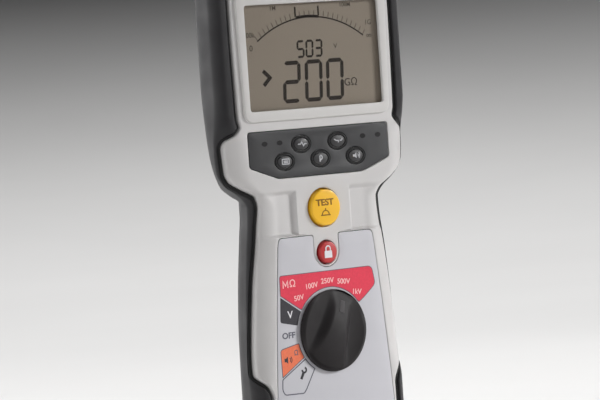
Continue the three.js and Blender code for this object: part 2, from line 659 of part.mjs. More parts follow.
function fuseClip(end) {
  const z = FUSE.z + end * (FUSE.half - 3);
  const base = block([FUSE.x - 4.4, FUSE.x + 4.4], [BOARD[1] + GAP, BOARD[1] + 1], [z - 2.2, z + 2.2]);
  const cheeks = [-1, 1].map((side) => {
    const inner = FUSE.x + side * 3.5;
    return block([Math.min(inner, inner + side * 0.8), Math.max(inner, inner + side * 0.8)],
      [BOARD[1] + GAP, BOARD[1] + 7.4], [z - 2.2, z + 2.2]);
  });
  return joined([base, ...cheeks]);
}

// ---------------------------------------------------------------- sockets at the top end
const SOCKETS = { y: 22.5, spread: 18.5, radius: 6.4, bore: 4.2, low: 198, contactTop: 214 };

function terminalPanel() {
  return without(block(...TERMINAL_BAY), [
    ...[-1, 1].map((side) => barZ(SOCKETS.radius + GAP, [200, 240], side * SOCKETS.spread, SOCKETS.y, 28)),
    barZ(5.6, [200, 240], 0, SOCKETS.y, 24),
  ]);
}

function socket(x) {
  const body = barZ(SOCKETS.radius, [SOCKETS.low, LENGTH - 0.2], x, SOCKETS.y, 28);
  return body.subtract(barZ(SOCKETS.bore, [SOCKETS.low + 3, 240], x, SOCKETS.y, 24));
}

function contactSleeve(x) {
  const tube = barZ(SOCKETS.bore - GAP, [SOCKETS.low + 3 + GAP, SOCKETS.contactTop], x, SOCKETS.y, 20);
  return tube.subtract(barZ(2, [SOCKETS.low + 6, 240], x, SOCKETS.y, 16));
}

function probeJack() {
  const cup = barZ(5.3, [206, LENGTH - 0.6], 0, SOCKETS.y, 24).subtract(barZ(4.2, [214, 240], 0, SOCKETS.y, 24));
  const pins = [90, 210, 330].map((angle) => {
    const turn = THREE.MathUtils.degToRad(angle);
    return barZ(0.55, [213, 219], 2.3 * Math.cos(turn), SOCKETS.y + 2.3 * Math.sin(turn), 8);
  });
  return joined([cup, ...pins]);
}

// ---------------------------------------------------------------- assembly
const tester = new THREE.Group();
const body = new THREE.Group();
body.position.y = FACE_Y;
tester.add(body);

const knobGroup = new THREE.Group();
knobGroup.position.set(KNOB.x, 0, KNOB.z);
knobGroup.rotation.y = THREE.MathUtils.degToRad(KNOB.step);
body.add(knobGroup);

function add(name, shape, material, parent = body) {
  const mesh = new THREE.Mesh(geometryOf(shape), material);
  mesh.name = name;
  parent.add(mesh);
}

add("front_case", frontCase(), finish.pale);
add("overmould", overmould(), finish.rubber);
add("case_seal", caseSeal(), finish.black);
add("rear_case", rearCase(), finish.charcoal);
CASE_SCREWS.forEach(([x, z], k) => {
  const headTop = k < 2 ? 27.2 : BAY_FLOOR + 2.6;
  add(`case_screw_${k + 1}`, screw([11, headTop], 2.2, 2.4, 1.4, x, z), finish.steel);
});

add("battery_cover", batteryCover(), finish.charcoal);
add("battery_cover_seal", batteryCoverSeal(), finish.black);
add("battery_cover_screw", screw([21, 46.4], 1.6, 2.5, 1.3, 0, COVER_SCREW_Z), finish.steel);
const CELLS = [[-14.6, 9], [0, 9], [14.6, 9], [-9.2, 59.5], [9.2, 59.5]];
CELLS.forEach(([x, z], k) => add(`cell_${k + 1}`, cell(x, z), finish.cell));
add("battery_contact_lower", contactStrip(20, [7.5, 8.5]), finish.steel);
add("battery_contact_upper", contactStrip(15.5, [109.7, 110.7]), finish.steel);
add("tilt_stand", tiltStand(), finish.charcoal);
add("stand_hinge_rod", barX(STAND.rod, [-STAND.half - 3.2, STAND.half + 3.2], STAND.axisY, STAND.axisZ, 12),
  finish.steel);

add("display_bezel", displayBezel(), finish.pale);
add("display_window", slab(roundedPanel([-38.5, 38.5], [153, 202.2], 1.8), [0, 0.8]), finish.clear);
add("display_panel", slab(roundedPanel([-38.5, 38.5], [153, 202.2], 0.5, 1), [1.1, 3]), finish.lcd);
add("display_backlight", block([-40.5, 40.5], [3.4, 6.4], [150.5, 204.2]), finish.glass);
add("keypad_fascia", keypadFascia(), finish.charcoal);
add("keypad_mat", keypadMat(), finish.black);
for (const [name, x, z] of KEYS) add(name, key(x, z), finish.keycap);

add("test_button", roundButton(TEST, 2.2, 1.2), finish.yellow);
add("test_spring", coilSpring(TEST, 5, 0.35, 3, 4.7, BOARD[0] - 0.2), finish.steel);
add("test_switch", tactSwitch(TEST, 3.2), finish.black);
add("lock_button", roundButton(LOCK, 1.8, 1), finish.red);
add("lock_spring", coilSpring(LOCK, 4, 0.3, 3, 4.7, BOARD[0] - 0.2), finish.steel);
add("lock_switch", tactSwitch(LOCK, 2.4), finish.black);
add("control_label", controlLabel(), finish.label);

add("range_knob", rangeKnob(), finish.black, knobGroup);
add("knob_pointer", knobPointer(), finish.pale, knobGroup);
add("knob_shaft", knobShaft(), finish.steel, knobGroup);
add("switch_rotor", switchRotor(), finish.pale, knobGroup);
add("knob_seal", ringY(4.2, 0.7, 2.4, KNOB.x, KNOB.z), finish.black);
add("switch_housing", switchHousing(), finish.black);
add("detent_spring", detentSpring(), finish.steel);

add("main_board", mainBoard(), finish.board);
add("transformer", transformer(-18, 84), finish.ferrite);
add("capacitor", capacitor(4, 84), finish.black);
add("buzzer", buzzer(-24, 150), finish.black);
add("fuse", fuse(), finish.glass);
add("fuse_clip_lower", fuseClip(-1), finish.steel);
add("fuse_clip_upper", fuseClip(1), finish.steel);

add("terminal_panel", terminalPanel(), finish.charcoal);
add("socket_black", socket(-SOCKETS.spread), finish.black);
add("socket_red", socket(SOCKETS.spread), finish.red);
add("contact_black", contactSleeve(-SOCKETS.spread), finish.brass);
add("contact_red", contactSleeve(SOCKETS.spread), finish.brass);
add("probe_jack", probeJack(), finish.black);

export default tester;
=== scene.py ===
"""Insulation resistance tester: the looks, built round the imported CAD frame.

Shapes are worked out in millimetres as (x, depth, z): x to the right seen from the front, depth behind
the flat face, z up from the bottom end. place() turns them into the frame's metres.
"""

import math

import bmesh
import bpy
import numpy as np
from mathutils import Matrix, Vector
from mathutils.geometry import delaunay_2d_cdt, tessellate_polygon


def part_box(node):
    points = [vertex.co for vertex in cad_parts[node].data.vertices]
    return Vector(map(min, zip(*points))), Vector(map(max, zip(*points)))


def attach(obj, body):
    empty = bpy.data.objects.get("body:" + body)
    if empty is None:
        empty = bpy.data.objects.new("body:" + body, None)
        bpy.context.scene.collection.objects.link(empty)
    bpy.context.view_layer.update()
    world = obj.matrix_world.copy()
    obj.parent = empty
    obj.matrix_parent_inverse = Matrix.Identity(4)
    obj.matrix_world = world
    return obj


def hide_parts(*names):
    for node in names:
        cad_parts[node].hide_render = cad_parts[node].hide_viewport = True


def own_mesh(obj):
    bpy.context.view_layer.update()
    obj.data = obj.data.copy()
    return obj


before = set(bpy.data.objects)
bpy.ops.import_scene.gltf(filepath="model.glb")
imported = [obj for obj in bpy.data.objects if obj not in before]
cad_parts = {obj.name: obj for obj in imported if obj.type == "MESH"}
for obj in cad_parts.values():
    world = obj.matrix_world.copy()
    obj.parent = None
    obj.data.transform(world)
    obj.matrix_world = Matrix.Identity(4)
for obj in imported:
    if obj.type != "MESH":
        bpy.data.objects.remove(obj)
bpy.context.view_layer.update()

MM = 0.001
FACE_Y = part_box("front_case")[0].y
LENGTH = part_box("overmould")[1].z / MM
BODY_DEPTH = (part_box("rear_case")[1].y - FACE_Y) / MM
SPLIT = (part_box("front_case")[1].y - FACE_Y) / MM


def place(x, depth, z):
    return x * MM, FACE_Y + depth * MM, z * MM


def cad_box(node):
    """The low and high corners of a CAD node as (x, depth, z) in millimetres."""
    return [(np.array(corner) - (0, FACE_Y, 0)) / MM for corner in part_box(node)]


# ---------------------------------------------------------------- camera
def make_camera():
    azimuth = math.radians(-37.5)
    elevation = math.radians(2.56)
    roll = math.radians(3.91)
    distance = 1.484
    target = Vector(place(0, 0, 109.3))
    back = Vector((math.sin(azimuth) * math.cos(elevation), -math.cos(azimuth) * math.cos(elevation),
                   math.sin(elevation)))
    right = (-back).cross(Vector((0, 0, 1))).normalized()
    up = right.cross(-back)
    across = right * math.cos(roll) - up * math.sin(roll)
    upward = right * math.sin(roll) + up * math.cos(roll)
    data = bpy.data.cameras.new("camera")
    data.sensor_width = 36
    data.lens = 199.24
    data.shift_x = -0.0395
    data.shift_y = 0.0122
    data.clip_end = 50
    camera = bpy.data.objects.new("camera", data)
    turn = Matrix((across, upward, back)).transposed().to_4x4()
    camera.matrix_world = Matrix.Translation(target + back * distance) @ turn
    bpy.context.scene.collection.objects.link(camera)
    bpy.context.scene.camera = camera


make_camera()
bpy.context.scene.view_settings.view_transform = "Standard"


# ---------------------------------------------------------------- materials
class Paint:
    """A Principled material with helpers for the procedural detail on it."""

    def __init__(self, name, color, roughness, metallic=0.0, specular=0.5):
        self.material = bpy.data.materials.new(name)
        self.material.use_nodes = True
        self.nodes = self.material.node_tree.nodes
        self.links = self.material.node_tree.links
        self.shader = self.nodes["Principled BSDF"]
        self.color = color
        self.set("Base Color", (*color, 1))
        self.set("Roughness", roughness)
        self.set("Metallic", metallic)
        self.set("Specular IOR Level", specular)
        self.coords = self.nodes.new("ShaderNodeTexCoord")
        self.bump = None

    def set(self, socket, value):
        self.shader.inputs[socket].default_value = value

    def noise(self, scale, detail=2.0, stretch=(1, 1, 1)):
        """A noise value over the object; scale is in features per metre."""
        mapping = self.nodes.new("ShaderNodeMapping")
        mapping.inputs["Scale"].default_value = stretch
        self.links.new(self.coords.outputs["Object"], mapping.inputs["Vector"])
        noise = self.nodes.new("ShaderNodeTexNoise")
        noise.inputs["Scale"].default_value = scale
        noise.inputs["Detail"].default_value = detail
        self.links.new(mapping.outputs["Vector"], noise.inputs["Vector"])
        return noise.outputs["Fac"]

    def cells(self, scale):
        voronoi = self.nodes.new("ShaderNodeTexVoronoi")
        voronoi.inputs["Scale"].default_value = scale
        self.links.new(self.coords.outputs["Object"], voronoi.inputs["Vector"])
        return voronoi.outputs["Distance"]

    def spread(self, value, low, high, start=0.3, end=0.7):
        """Maps a 0 to 1 value onto low to high, steepest between start and end."""
        span = self.nodes.new("ShaderNodeMapRange")
        span.inputs["From Min"].default_value = start
        span.inputs["From Max"].default_value = end
        span.inputs["To Min"].default_value = low
        span.inputs["To Max"].default_value = high
        self.links.new(value, span.inputs["Value"])
        return span.outputs["Result"]

    def tint(self, value, dark, light, start=0.3, end=0.7):
        """Colours the surface between two shades by a 0 to 1 value."""
        ramp = self.nodes.new("ShaderNodeValToRGB")
        ramp.color_ramp.elements[0].position = start
        ramp.color_ramp.elements[0].color = (*dark, 1)
        ramp.color_ramp.elements[1].position = end
        ramp.color_ramp.elements[1].color = (*light, 1)
        self.links.new(value, ramp.inputs["Fac"])
        self.links.new(ramp.outputs["Color"], self.shader.inputs["Base Color"])
        return self

    def mottle(self, scale, amount, detail=3.0, stretch=(1, 1, 1)):
        """Varies the base colour a little, as moulded plastic and rubber do."""
        dark = [c * (1 - amount) for c in self.color]
        light = [min(c * (1 + amount), 1) for c in self.color]
        return self.tint(self.noise(scale, detail, stretch), dark, light)

    def gloss(self, scale, low, high, detail=3.0, stretch=(1, 1, 1)):
        value = self.spread(self.noise(scale, detail, stretch), low, high)
        self.links.new(value, self.shader.inputs["Roughness"])
        return self

    def relief(self, value, strength, height_mm):
        """Adds a bump of that height in millimetres on top of what is there."""
        bump = self.nodes.new("ShaderNodeBump")
        bump.inputs["Strength"].default_value = strength
        bump.inputs["Distance"].default_value = height_mm * MM
        self.links.new(value, bump.inputs["Height"])
        if self.bump:
            self.links.new(self.bump.outputs["Normal"], bump.inputs["Normal"])
        self.links.new(bump.outputs["Normal"], self.shader.inputs["Normal"])
        self.bump = bump
        return self

    def grain(self, scale, strength, height_mm, detail=2.0, stretch=(1, 1, 1)):
        return self.relief(self.noise(scale, detail, stretch), strength, height_mm)


def moulded(name, color, roughness=0.5, grain=2600, depth=0.03, strength=0.35, mottle=0.035, specular=0.5):
    paint = Paint(name, color, roughness, specular=specular)
    paint.mottle(38, mottle)
    paint.gloss(160, roughness - 0.05, roughness + 0.06)
    paint.grain(grain, strength, depth)
    return paint.material


def rubber(name, color, roughness=0.72):
    paint = Paint(name, color, roughness, specular=0.4)
    paint.mottle(30, 0.08)
    paint.gloss(90, roughness - 0.08, roughness + 0.08)
    paint.grain(1500, 0.35, 0.05, detail=4)
    paint.set("Sheen Weight", 0.25)
    paint.set("Sheen Roughness", 0.45)
    return paint.material


def ink(name, color, roughness=0.5):
    paint = Paint(name, color, roughness, specular=0.2)
    paint.mottle(900, 0.05, detail=2)
    paint.grain(2200, 0.15, 0.01)
    return paint.material


def metal(name, color, roughness=0.32, brushed=(1, 1, 14)):
    paint = Paint(name, color, roughness, metallic=1.0)
    paint.mottle(120, 0.08)
    paint.gloss(700, roughness - 0.08, roughness + 0.1, stretch=brushed)
    paint.grain(1800, 0.2, 0.01, stretch=brushed)
    return paint.material


def clear_window():
    paint = Paint("window_polycarbonate", (0.05, 0.05, 0.05), 0.06)
    paint.set("Alpha", 0.08)
    paint.gloss(1500, 0.05, 0.08)
    return paint.material


def display_face():
    paint = Paint("display_liquid_crystal", (0.335, 0.283, 0.224), 0.45, specular=0.2)
    paint.mottle(700, 0.025)
    paint.gloss(900, 0.42, 0.5)
    paint.grain(5200, 0.08, 0.008)
    return paint.material


def circuit_board():
    paint = Paint("board_solder_mask", (0.02, 0.12, 0.045), 0.35)
    paint.tint(paint.cells(190), (0.015, 0.085, 0.03), (0.035, 0.17, 0.06), 0.28, 0.36)
    paint.gloss(200, 0.28, 0.42)
    paint.grain(900, 0.3, 0.03)
    return paint.material


def cell_sleeve():
    paint = Paint("cell_sleeve", (0.03, 0.03, 0.035), 0.3, metallic=0.2)
    split = paint.nodes.new("ShaderNodeSeparateXYZ")
    paint.links.new(paint.coords.outputs["Object"], split.inputs["Vector"])
    waves = paint.nodes.new("ShaderNodeMath")
    waves.operation = "PINGPONG"
    waves.inputs[1].default_value = 0.0152
    shift = paint.nodes.new("ShaderNodeMath")
    shift.operation = "ADD"
    shift.inputs[1].default_value = 0.0165
    paint.links.new(split.outputs["Z"], shift.inputs[0])
    paint.links.new(shift.outputs["Value"], waves.inputs[0])
    paint.tint(waves.outputs["Value"], (0.03, 0.03, 0.035), (0.62, 0.38, 0.1), 0.0165, 0.0172)
    paint.gloss(140, 0.22, 0.38)
    return paint.material


PALE = (0.605, 0.59, 0.585)
MATERIALS = {
    "pale": moulded("pale_abs", PALE, 0.46, depth=0.02, strength=0.3),
    "bezel": moulded("bezel_abs", (0.64, 0.625, 0.61), 0.4, depth=0.012, strength=0.25),
    "rubber": rubber("overmould_rubber", (0.022, 0.021, 0.023)),
    # Nearly black rubber: the CAD seals, the keypad mat and the panel dots take it as their own colour; the
    # groove ring and the rings round the keys use it as painted shade.
    "seal": rubber("seal_rubber", (0.006, 0.0055, 0.006), 0.8),
    "shell": moulded("rear_abs", (0.05, 0.048, 0.051), 0.52, grain=1500, depth=0.05, strength=0.5),
    "fascia": moulded("fascia_film", (0.028, 0.028, 0.03), 0.5, grain=3200, depth=0.012, strength=0.3),
    "keycap": rubber("keycap_silicone", (0.034, 0.033, 0.035), 0.5),
    "yellow": moulded("yellow_button_plastic", (0.95, 0.53, 0.022), 0.33, depth=0.01, strength=0.2),
    "red": moulded("red_button_plastic", (0.5, 0.03, 0.032), 0.36, depth=0.01, strength=0.2),
    "label": moulded("label_film", (0.555, 0.55, 0.585), 0.44, grain=3400, depth=0.01,
                     strength=0.25, mottle=0.02),
    "knob": moulded("knob_nylon", (0.012, 0.0095, 0.0105), 0.6, grain=2000, depth=0.03,
                    strength=0.3, specular=0.32),
    "inlay": moulded("pointer_inlay_nylon", (0.036, 0.032, 0.034), 0.6, depth=0.01, strength=0.2,
                     specular=0.35),
    "black": moulded("black_plastic", (0.015, 0.015, 0.016), 0.45),
    "white": moulded("acetal", (0.7, 0.69, 0.66), 0.4),
    "socket_red": moulded("red_socket_nylon", (0.5, 0.02, 0.02), 0.34),
    "steel": metal("plated_steel", (0.56, 0.56, 0.57)),
    "brass": metal("turned_brass", (0.75, 0.55, 0.24), 0.26, (1, 1, 30)),
    "ferrite": moulded("ferrite_core", (0.06, 0.055, 0.052), 0.6, grain=900, depth=0.05),
    "diffuser": moulded("milky_acrylic", (0.78, 0.8, 0.8), 0.3),
    "ceramic": moulded("fuse_ceramic", (0.78, 0.76, 0.7), 0.3),
    "board": circuit_board(),
    "cell": cell_sleeve(),
    "window": clear_window(),
    "lcd": display_face(),
    "segment": ink("display_segment", (0.022, 0.015, 0.01), 0.6),
    "segment_faint": ink("display_segment_faint", (0.1, 0.082, 0.062), 0.4),
    "ink_red": ink("ink_red", (0.76, 0.055, 0.095)),
    "ink_orange": ink("ink_orange", (0.83, 0.2, 0.1)),
    "ink_black": ink("ink_black", (0.05, 0.048, 0.055)),
    "ink_dark": ink("ink_dark", (0.12, 0.12, 0.15)),
    "ink_white": ink("ink_white", (0.78, 0.77, 0.8)),
    "ink_grey": ink("ink_grey", (0.48, 0.48, 0.5)),
    "ink_pink": ink("ink_pink", (0.95, 0.56, 0.55)),
    "ink_brown": ink("ink_brown", (0.26, 0.13, 0.02)),
}


# ---------------------------------------------------------------- mesh building
class Builder:
    """Collects vertices in millimetres and faces, then makes one piece."""

    def __init__(self):
        self.vertices = []
        self.faces = []

    def add(self, vertices, faces):
        start = len(self.vertices)
        self.vertices.extend(tuple(map(float, v)) for v in vertices)
        self.faces.extend(tuple(start + k for k in face) for face in faces)
        return self

    def piece(self, name, material, body="root", sharp=40):
        mesh = bpy.data.meshes.new(name)
        mesh.from_pydata([place(*v) for v in self.vertices], [], self.faces)
        mesh.validate()
        mesh.update()
        mesh.shade_smooth()
        mesh.set_sharp_from_angle(angle=math.radians(sharp))
        mesh.materials.append(MATERIALS[material])
        piece = bpy.data.objects.new(name, mesh)
        bpy.context.scene.collection.objects.link(piece)
        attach(piece, body)
        return piece


def grid_faces(rows, columns, wrap_rows=False, wrap_columns=False):
    faces = []
    for row in range(rows if wrap_rows else rows - 1):
        for column in range(columns if wrap_columns else columns - 1):
            a = row * columns + column
            b = row * columns + (column + 1) % columns
            c = ((row + 1) % rows) * columns + (column + 1) % columns
            d = ((row + 1) % rows) * columns + column
            faces.append((a, b, c, d))
    return faces


def tube_faces(rings, sides):
    """Faces round a tube of matched rings, with both of its ends closed."""
    count = rings * sides
    ends = [tuple(range(sides))[::-1], tuple(range(count - sides, count))]
    return grid_faces(rings, sides, wrap_columns=True) + ends


def turned(profile, x, z, sides=64):
    """A solid turned about a depth axis; profile is (radius, depth) from axis to axis, in millimetres."""
    vertices = [(x, profile[0][1], z)]
    for radius, depth in profile[1:-1]:
        for k in range(sides):
            turn = 2 * math.pi * k / sides
            vertices.append((x + radius * math.cos(turn), depth, z + radius * math.sin(turn)))
    vertices.append((x, profile[-1][1], z))
    rings = len(profile) - 2
    faces = [(0, 1 + k, 1 + (k + 1) % sides) for k in range(sides)]
    faces += [tuple(1 + v for v in face) for face in grid_faces(rings, sides, wrap_columns=True)]
    last = 1 + (rings - 1) * sides
    faces += [(len(vertices) - 1, last + (k + 1) % sides, last + k) for k in range(sides)]
    # the front end faces away from the body, so the winding runs the other way
    return vertices, [tuple(reversed(face)) for face in faces]


def inside(points, polygon):
    """Which points lie in a closed polygon, by the even-odd rule."""
    x, z = points[:, 0][:, None], points[:, 1][:, None]
    start, end = polygon, np.roll(polygon, -1, axis=0)
    spans = (start[:, 1] > z) != (end[:, 1] > z)
    with np.errstate(divide="ignore", invalid="ignore"):
        rise = end[:, 1] - start[:, 1]
        crossing = start[:, 0] + (z - start[:, 1]) * (end[:, 0] - start[:, 0]) / rise
    return (spans & (x < crossing)).sum(axis=1) % 2 == 1


def normals_of(loop):
    """Outward unit normals of an anticlockwise closed loop."""
    along = np.roll(loop, -1, axis=0) - np.roll(loop, 1, axis=0)
    normal = np.column_stack((along[:, 1], -along[:, 0]))
    return normal / np.linalg.norm(normal, axis=1)[:, None]


def grown(loop, distance):
    return loop + normals_of(loop) * distance


def anticlockwise(loop):
    loop = np.asarray(loop, float)
    x, z = loop[:, 0], loop[:, 1]
    area = (x * np.roll(z, -1) - np.roll(x, -1) * z).sum()
    return loop if area > 0 else loop[::-1]


EDGE_STEPS = (0.0, 0.1, 0.3, 0.6, 1.0)
CLOSEST = 1e-5  # points nearer than this to each other become one
THINNEST = 0.05  # the least that a plate's edge may be


def edge_fall(step, radius):
    """How far a rounded edge has dropped at a fraction of its radius in from the edge."""
    return radius - np.sqrt(radius ** 2 - (radius * (1 - step)) ** 2)


def plate(outer, holes, front, back, rounding=0.5, hole_rounding=0.4, spacing=2.0, fine=()):
    """A solid plate with rounded edges. front and back give depth at points; fine lists denser boxes."""
    outer = anticlockwise(outer)
    holes = [anticlockwise(hole) for hole in holes]
    points, falls, edges = [], [], []

    def ring(loop, fall):
        start = len(points)
        points.extend(map(tuple, loop))
        falls.extend([fall] * len(loop))
        edges.extend((start + k, start + (k + 1) % len(loop)) for k in range(len(loop)))
        return list(range(start, start + len(loop)))

    # the first ring of each edge is the one that the side wall hangs from
    outer_wall, *_ = [ring(grown(outer, -rounding * step), edge_fall(step, rounding)) for step in EDGE_STEPS]
    hole_walls = []
    for hole in holes:
        wall, *_ = [ring(grown(hole, hole_rounding * step), edge_fall(step, hole_rounding))
                    for step in EDGE_STEPS]
        hole_walls.append(wall)
    grids = [(outer.min(axis=0), outer.max(axis=0), spacing)] + list(fine)
    for low, high, step in grids:
        xs = np.arange(low[0], high[0], step) + step * 0.41
        zs = np.arange(low[1], high[1], step) + step * 0.37
        spots = np.array([(x, z) for z in zs for x in xs])
        keep = inside(spots, grown(outer, -rounding - 0.45 * step))
        for hole in holes:
            keep &= ~inside(spots, grown(hole, hole_rounding + 0.4 * step))
        spots = spots[keep]
        points.extend(map(tuple, spots))
        falls.extend([0.0] * len(spots))
    spread = [Vector(point) for point in points]
    flat, _, triangles, origins, _, _ = delaunay_2d_cdt(spread, edges, [], 0, CLOSEST)
    flat = np.array([tuple(p) for p in flat])
    triangles = np.array([tuple(t) for t in triangles])
    centres = flat[triangles].mean(axis=1)
    keep = inside(centres, outer)
    for hole in holes:
        keep &= ~inside(centres, hole)
    triangles = triangles[keep]
    lookup = {}
    fall = np.zeros(len(flat))
    for index, sources in enumerate(origins):
        for source in sources:
            lookup[source] = index
        if sources:
            fall[index] = falls[sources[0]]
    count = len(flat)
    top = np.column_stack((flat[:, 0], front(flat) + fall, flat[:, 1]))
    bottom = np.column_stack((flat[:, 0], back(flat), flat[:, 1]))
    for source in outer_wall:
        k = lookup[source]
        bottom[k, 1] = max(bottom[k, 1], top[k, 1] + THINNEST)
    faces = [tuple(t) for t in triangles] + [tuple(count + k for k in reversed(t)) for t in triangles]
    for indices in (outer_wall, *hole_walls):
        is_hole = indices is not outer_wall
        for k, source in enumerate(indices):
            a, b = lookup[source], lookup[indices[(k + 1) % len(indices)]]
            quad = (a, b, b + count, a + count)
            faces.append(quad if is_hole else quad[::-1])
    used = sorted({k for face in faces for k in face})
    order = {k: new for new, k in enumerate(used)}
    vertices = np.vstack((top, bottom))[used]
    return vertices, [tuple(order[k] for k in face) for face in faces]


def level(depth):
    return lambda points: np.full(len(points), float(depth))


def ellipse(x, z, half_x, half_z, sides=48):
    turn = np.arange(sides) * 2 * math.pi / sides
    return np.column_stack((x + half_x * np.cos(turn), z + half_z * np.sin(turn)))


def rounded(corners, radius, steps=7):
    """An outline with its corners rounded; radius is one number or one for each corner."""
    corners = np.asarray(corners, float)
    radii = radius if isinstance(radius, (list, tuple)) else [radius] * len(corners)
    outline = []
    for k, corner in enumerate(corners):
        before = corners[k - 1] - corner
        after = corners[(k + 1) % len(corners)] - corner
        start = corner + before / np.linalg.norm(before) * radii[k]
        end = corner + after / np.linalg.norm(after) * radii[k]
        for t in np.linspace(0, 1, steps if radii[k] else 1):
            outline.append((1 - t) ** 2 * start + 2 * t * (1 - t) * corner + t * t * end)
    return np.array(outline)


def box_outline(x0, x1, z0, z1, radius, steps=7):
    return rounded([(x0, z0), (x1, z0), (x1, z1), (x0, z1)], radius, steps)


# ---------------------------------------------------------------- the body's own curves, as in the CAD part
def ease(value):
    t = np.clip(value, 0, 1)
    return t * t * (3 - 2 * t)


def smooth(points):
    """A curve through (z, value) points that never overshoots them, as a function of an array of z."""
    z, value = np.array(points, float).T
    slope = np.diff(value) / np.diff(z)
    tangent = np.zeros(len(z))
    same = slope[:-1] * slope[1:] > 0
    tangent[1:-1][same] = 2 * slope[:-1][same] * slope[1:][same] / (slope[:-1][same] + slope[1:][same])
    table_z = np.linspace(z[0], z[-1], 4000)
    k = np.clip(np.searchsorted(z, table_z, side="right") - 1, 0, len(z) - 2)
    span = z[k + 1] - z[k]
    t = (table_z - z[k]) / span
    table = (value[k] * (1 + 2 * t) * (1 - t) ** 2 + value[k + 1] * t * t * (3 - 2 * t)
             + span * (tangent[k] * t * (1 - t) ** 2 - tangent[k + 1] * t * t * (1 - t)))
    return lambda at: np.interp(at, table_z, table)


HALF_FOOT, HALF_HEAD = 42.4, 52.6
PALE_HALF_FOOT, PALE_HALF_HEAD = 34.4, 44.3
SKIN = smooth([(0, HALF_FOOT), (36, HALF_FOOT), (50, 42), (72, 40.6), (89.5, 39), (107, 37), (112, 36.8),
               (115, 38.4), (118, 41.8), (121, 46), (124.5, 50), (129, 52), (137, HALF_HEAD),
               (LENGTH, HALF_HEAD)])
FLANK = smooth([(0, 41.4), (28, 41.4), (50, 41.1), (72, 39.8), (98, 36.9), (107, 35.9), (114, 35.9),
                (117.6, 41.1), (121, 45.3), (126, 47.7), (131, 49.3), (137, 50.4), (148, 51.5),
                (166, 52.4), (LENGTH, 52.4)])
FLAT = smooth([(0, 36.5), (29, 36.5), (38, 33.5), (50, 31.3), (64, 30), (92, 27.3), (105, 26.2), (112, 26.5),
               (117, 31), (121, 37), (127, 40.2), (140, 41.5), (149, 47), (158, 49), (LENGTH, 49)])
SHOULDER = smooth([(0, 7), (30, 7), (42, 8), (140, 8), (150, 6.5), (160, 5.5), (LENGTH, 5.5)])
PALE_BOTTOM, PALE_TOP = 7, 214
PALE_EDGE = smooth([(PALE_BOTTOM, PALE_HALF_FOOT), (27, PALE_HALF_FOOT), (32, 36), (38, 40.4), (43, 40.3),
                    (74, 37.9), (104, 33.8), (112, 33), (116.5, 34.9), (120.7, 42), (124, 46.8), (128, 49),
                    (135, 49.7), (139, 49.9), (142, 49), (144.5, 45.2), (148, 42.7), (152, 43.6),
                    (200, PALE_HALF_HEAD), (PALE_TOP, PALE_HALF_HEAD)])
PALE_LOW_CORNER, PALE_HIGH_CORNER = 4, 7
BOTTOM_CORNER, TOP_CORNER, END_ROUND = 12, 15, 5
SIDE_SLOPE = 0.72
FLANK_DEPTH = 15  # the depth that FLANK is given for; SIDE_SLOPE takes the flank in from there
FLANK_GAP = 0.3
GROOVE = 2.0
GROOVE_FLOOR = 7.6
SEAM = 0.3


def corner_drop(distance, radius):
    rest = np.clip(radius - np.asarray(distance, float), 0, radius)
    return radius - np.sqrt(radius * radius - rest * rest)


def corner_at(z):
    return corner_drop(z, BOTTOM_CORNER) + corner_drop(LENGTH - z, TOP_CORNER)


def face_depth(points):
    """Depth of the body's front skin at (x, z) points."""
    x, z = np.abs(points[:, 0]), points[:, 1]
    end = corner_drop(z, END_ROUND) + corner_drop(LENGTH - z, END_ROUND)
    corner = corner_at(z)
    width = SKIN(z) - corner
    flat = np.minimum(FLAT(z) - corner, width - 3)
    shoulder = np.maximum(SHOULDER(z), end + 2.5)
    u = np.clip((x - flat) / (width - flat), 0, 1)
    return end + (shoulder - end) * (1 - (1 - u ** 1.6) ** (1 / 1.5))


def flank_inset(depth, z):
    """How far the flank has come in from the widest outline at a depth."""
    lean = SKIN(z) - (FLANK(z) - SIDE_SLOPE * (depth - FLANK_DEPTH) - FLANK_GAP)
    return (lean + np.sqrt(lean ** 2 + 1.4)) / 2


def flank_loop(depth):
    """The body's outer loop at a depth, and how far each point has come in from the widest outline."""
    normal = normals_of(SKIN_LOOP)
    z = SKIN_LOOP[:, 1]
    inset = flank_inset(np.broadcast_to(depth, len(SKIN_LOOP)), z)
    flare = (ease((z - 100) / 6) * (1 - ease((z - 150) / 10)))[:, None]
    round_corner = normal * (inset * np.abs(normal[:, 0]))[:, None]
    straight_in = np.column_stack((np.sign(SKIN_LOOP[:, 0]) * inset, np.zeros(len(z))))
    shift = round_corner + (straight_in - round_corner) * flare
    return SKIN_LOOP - shift, (shift * normal).sum(axis=1)


def inner_wall(depth, least, cover):
    """The loop inside the skin at a depth: at least so far in, and so far in from the flank there."""
    loop, come_in = flank_loop(depth)
    return at_depth(loop - normals_of(SKIN_LOOP) * np.maximum(least - come_in, cover)[:, None], depth)


def arc(centre_x, centre_z, radius, start, end, steps):
    turn = np.radians(np.linspace(start, end, steps))
    return np.column_stack((centre_x + radius * np.cos(turn), centre_z + radius * np.sin(turn)))


def mirrored(right):
    """A closed anticlockwise loop from its right half, bottom centre to top centre."""
    left = right[1:-1][::-1] * (-1, 1)
    return np.vstack((right, left))


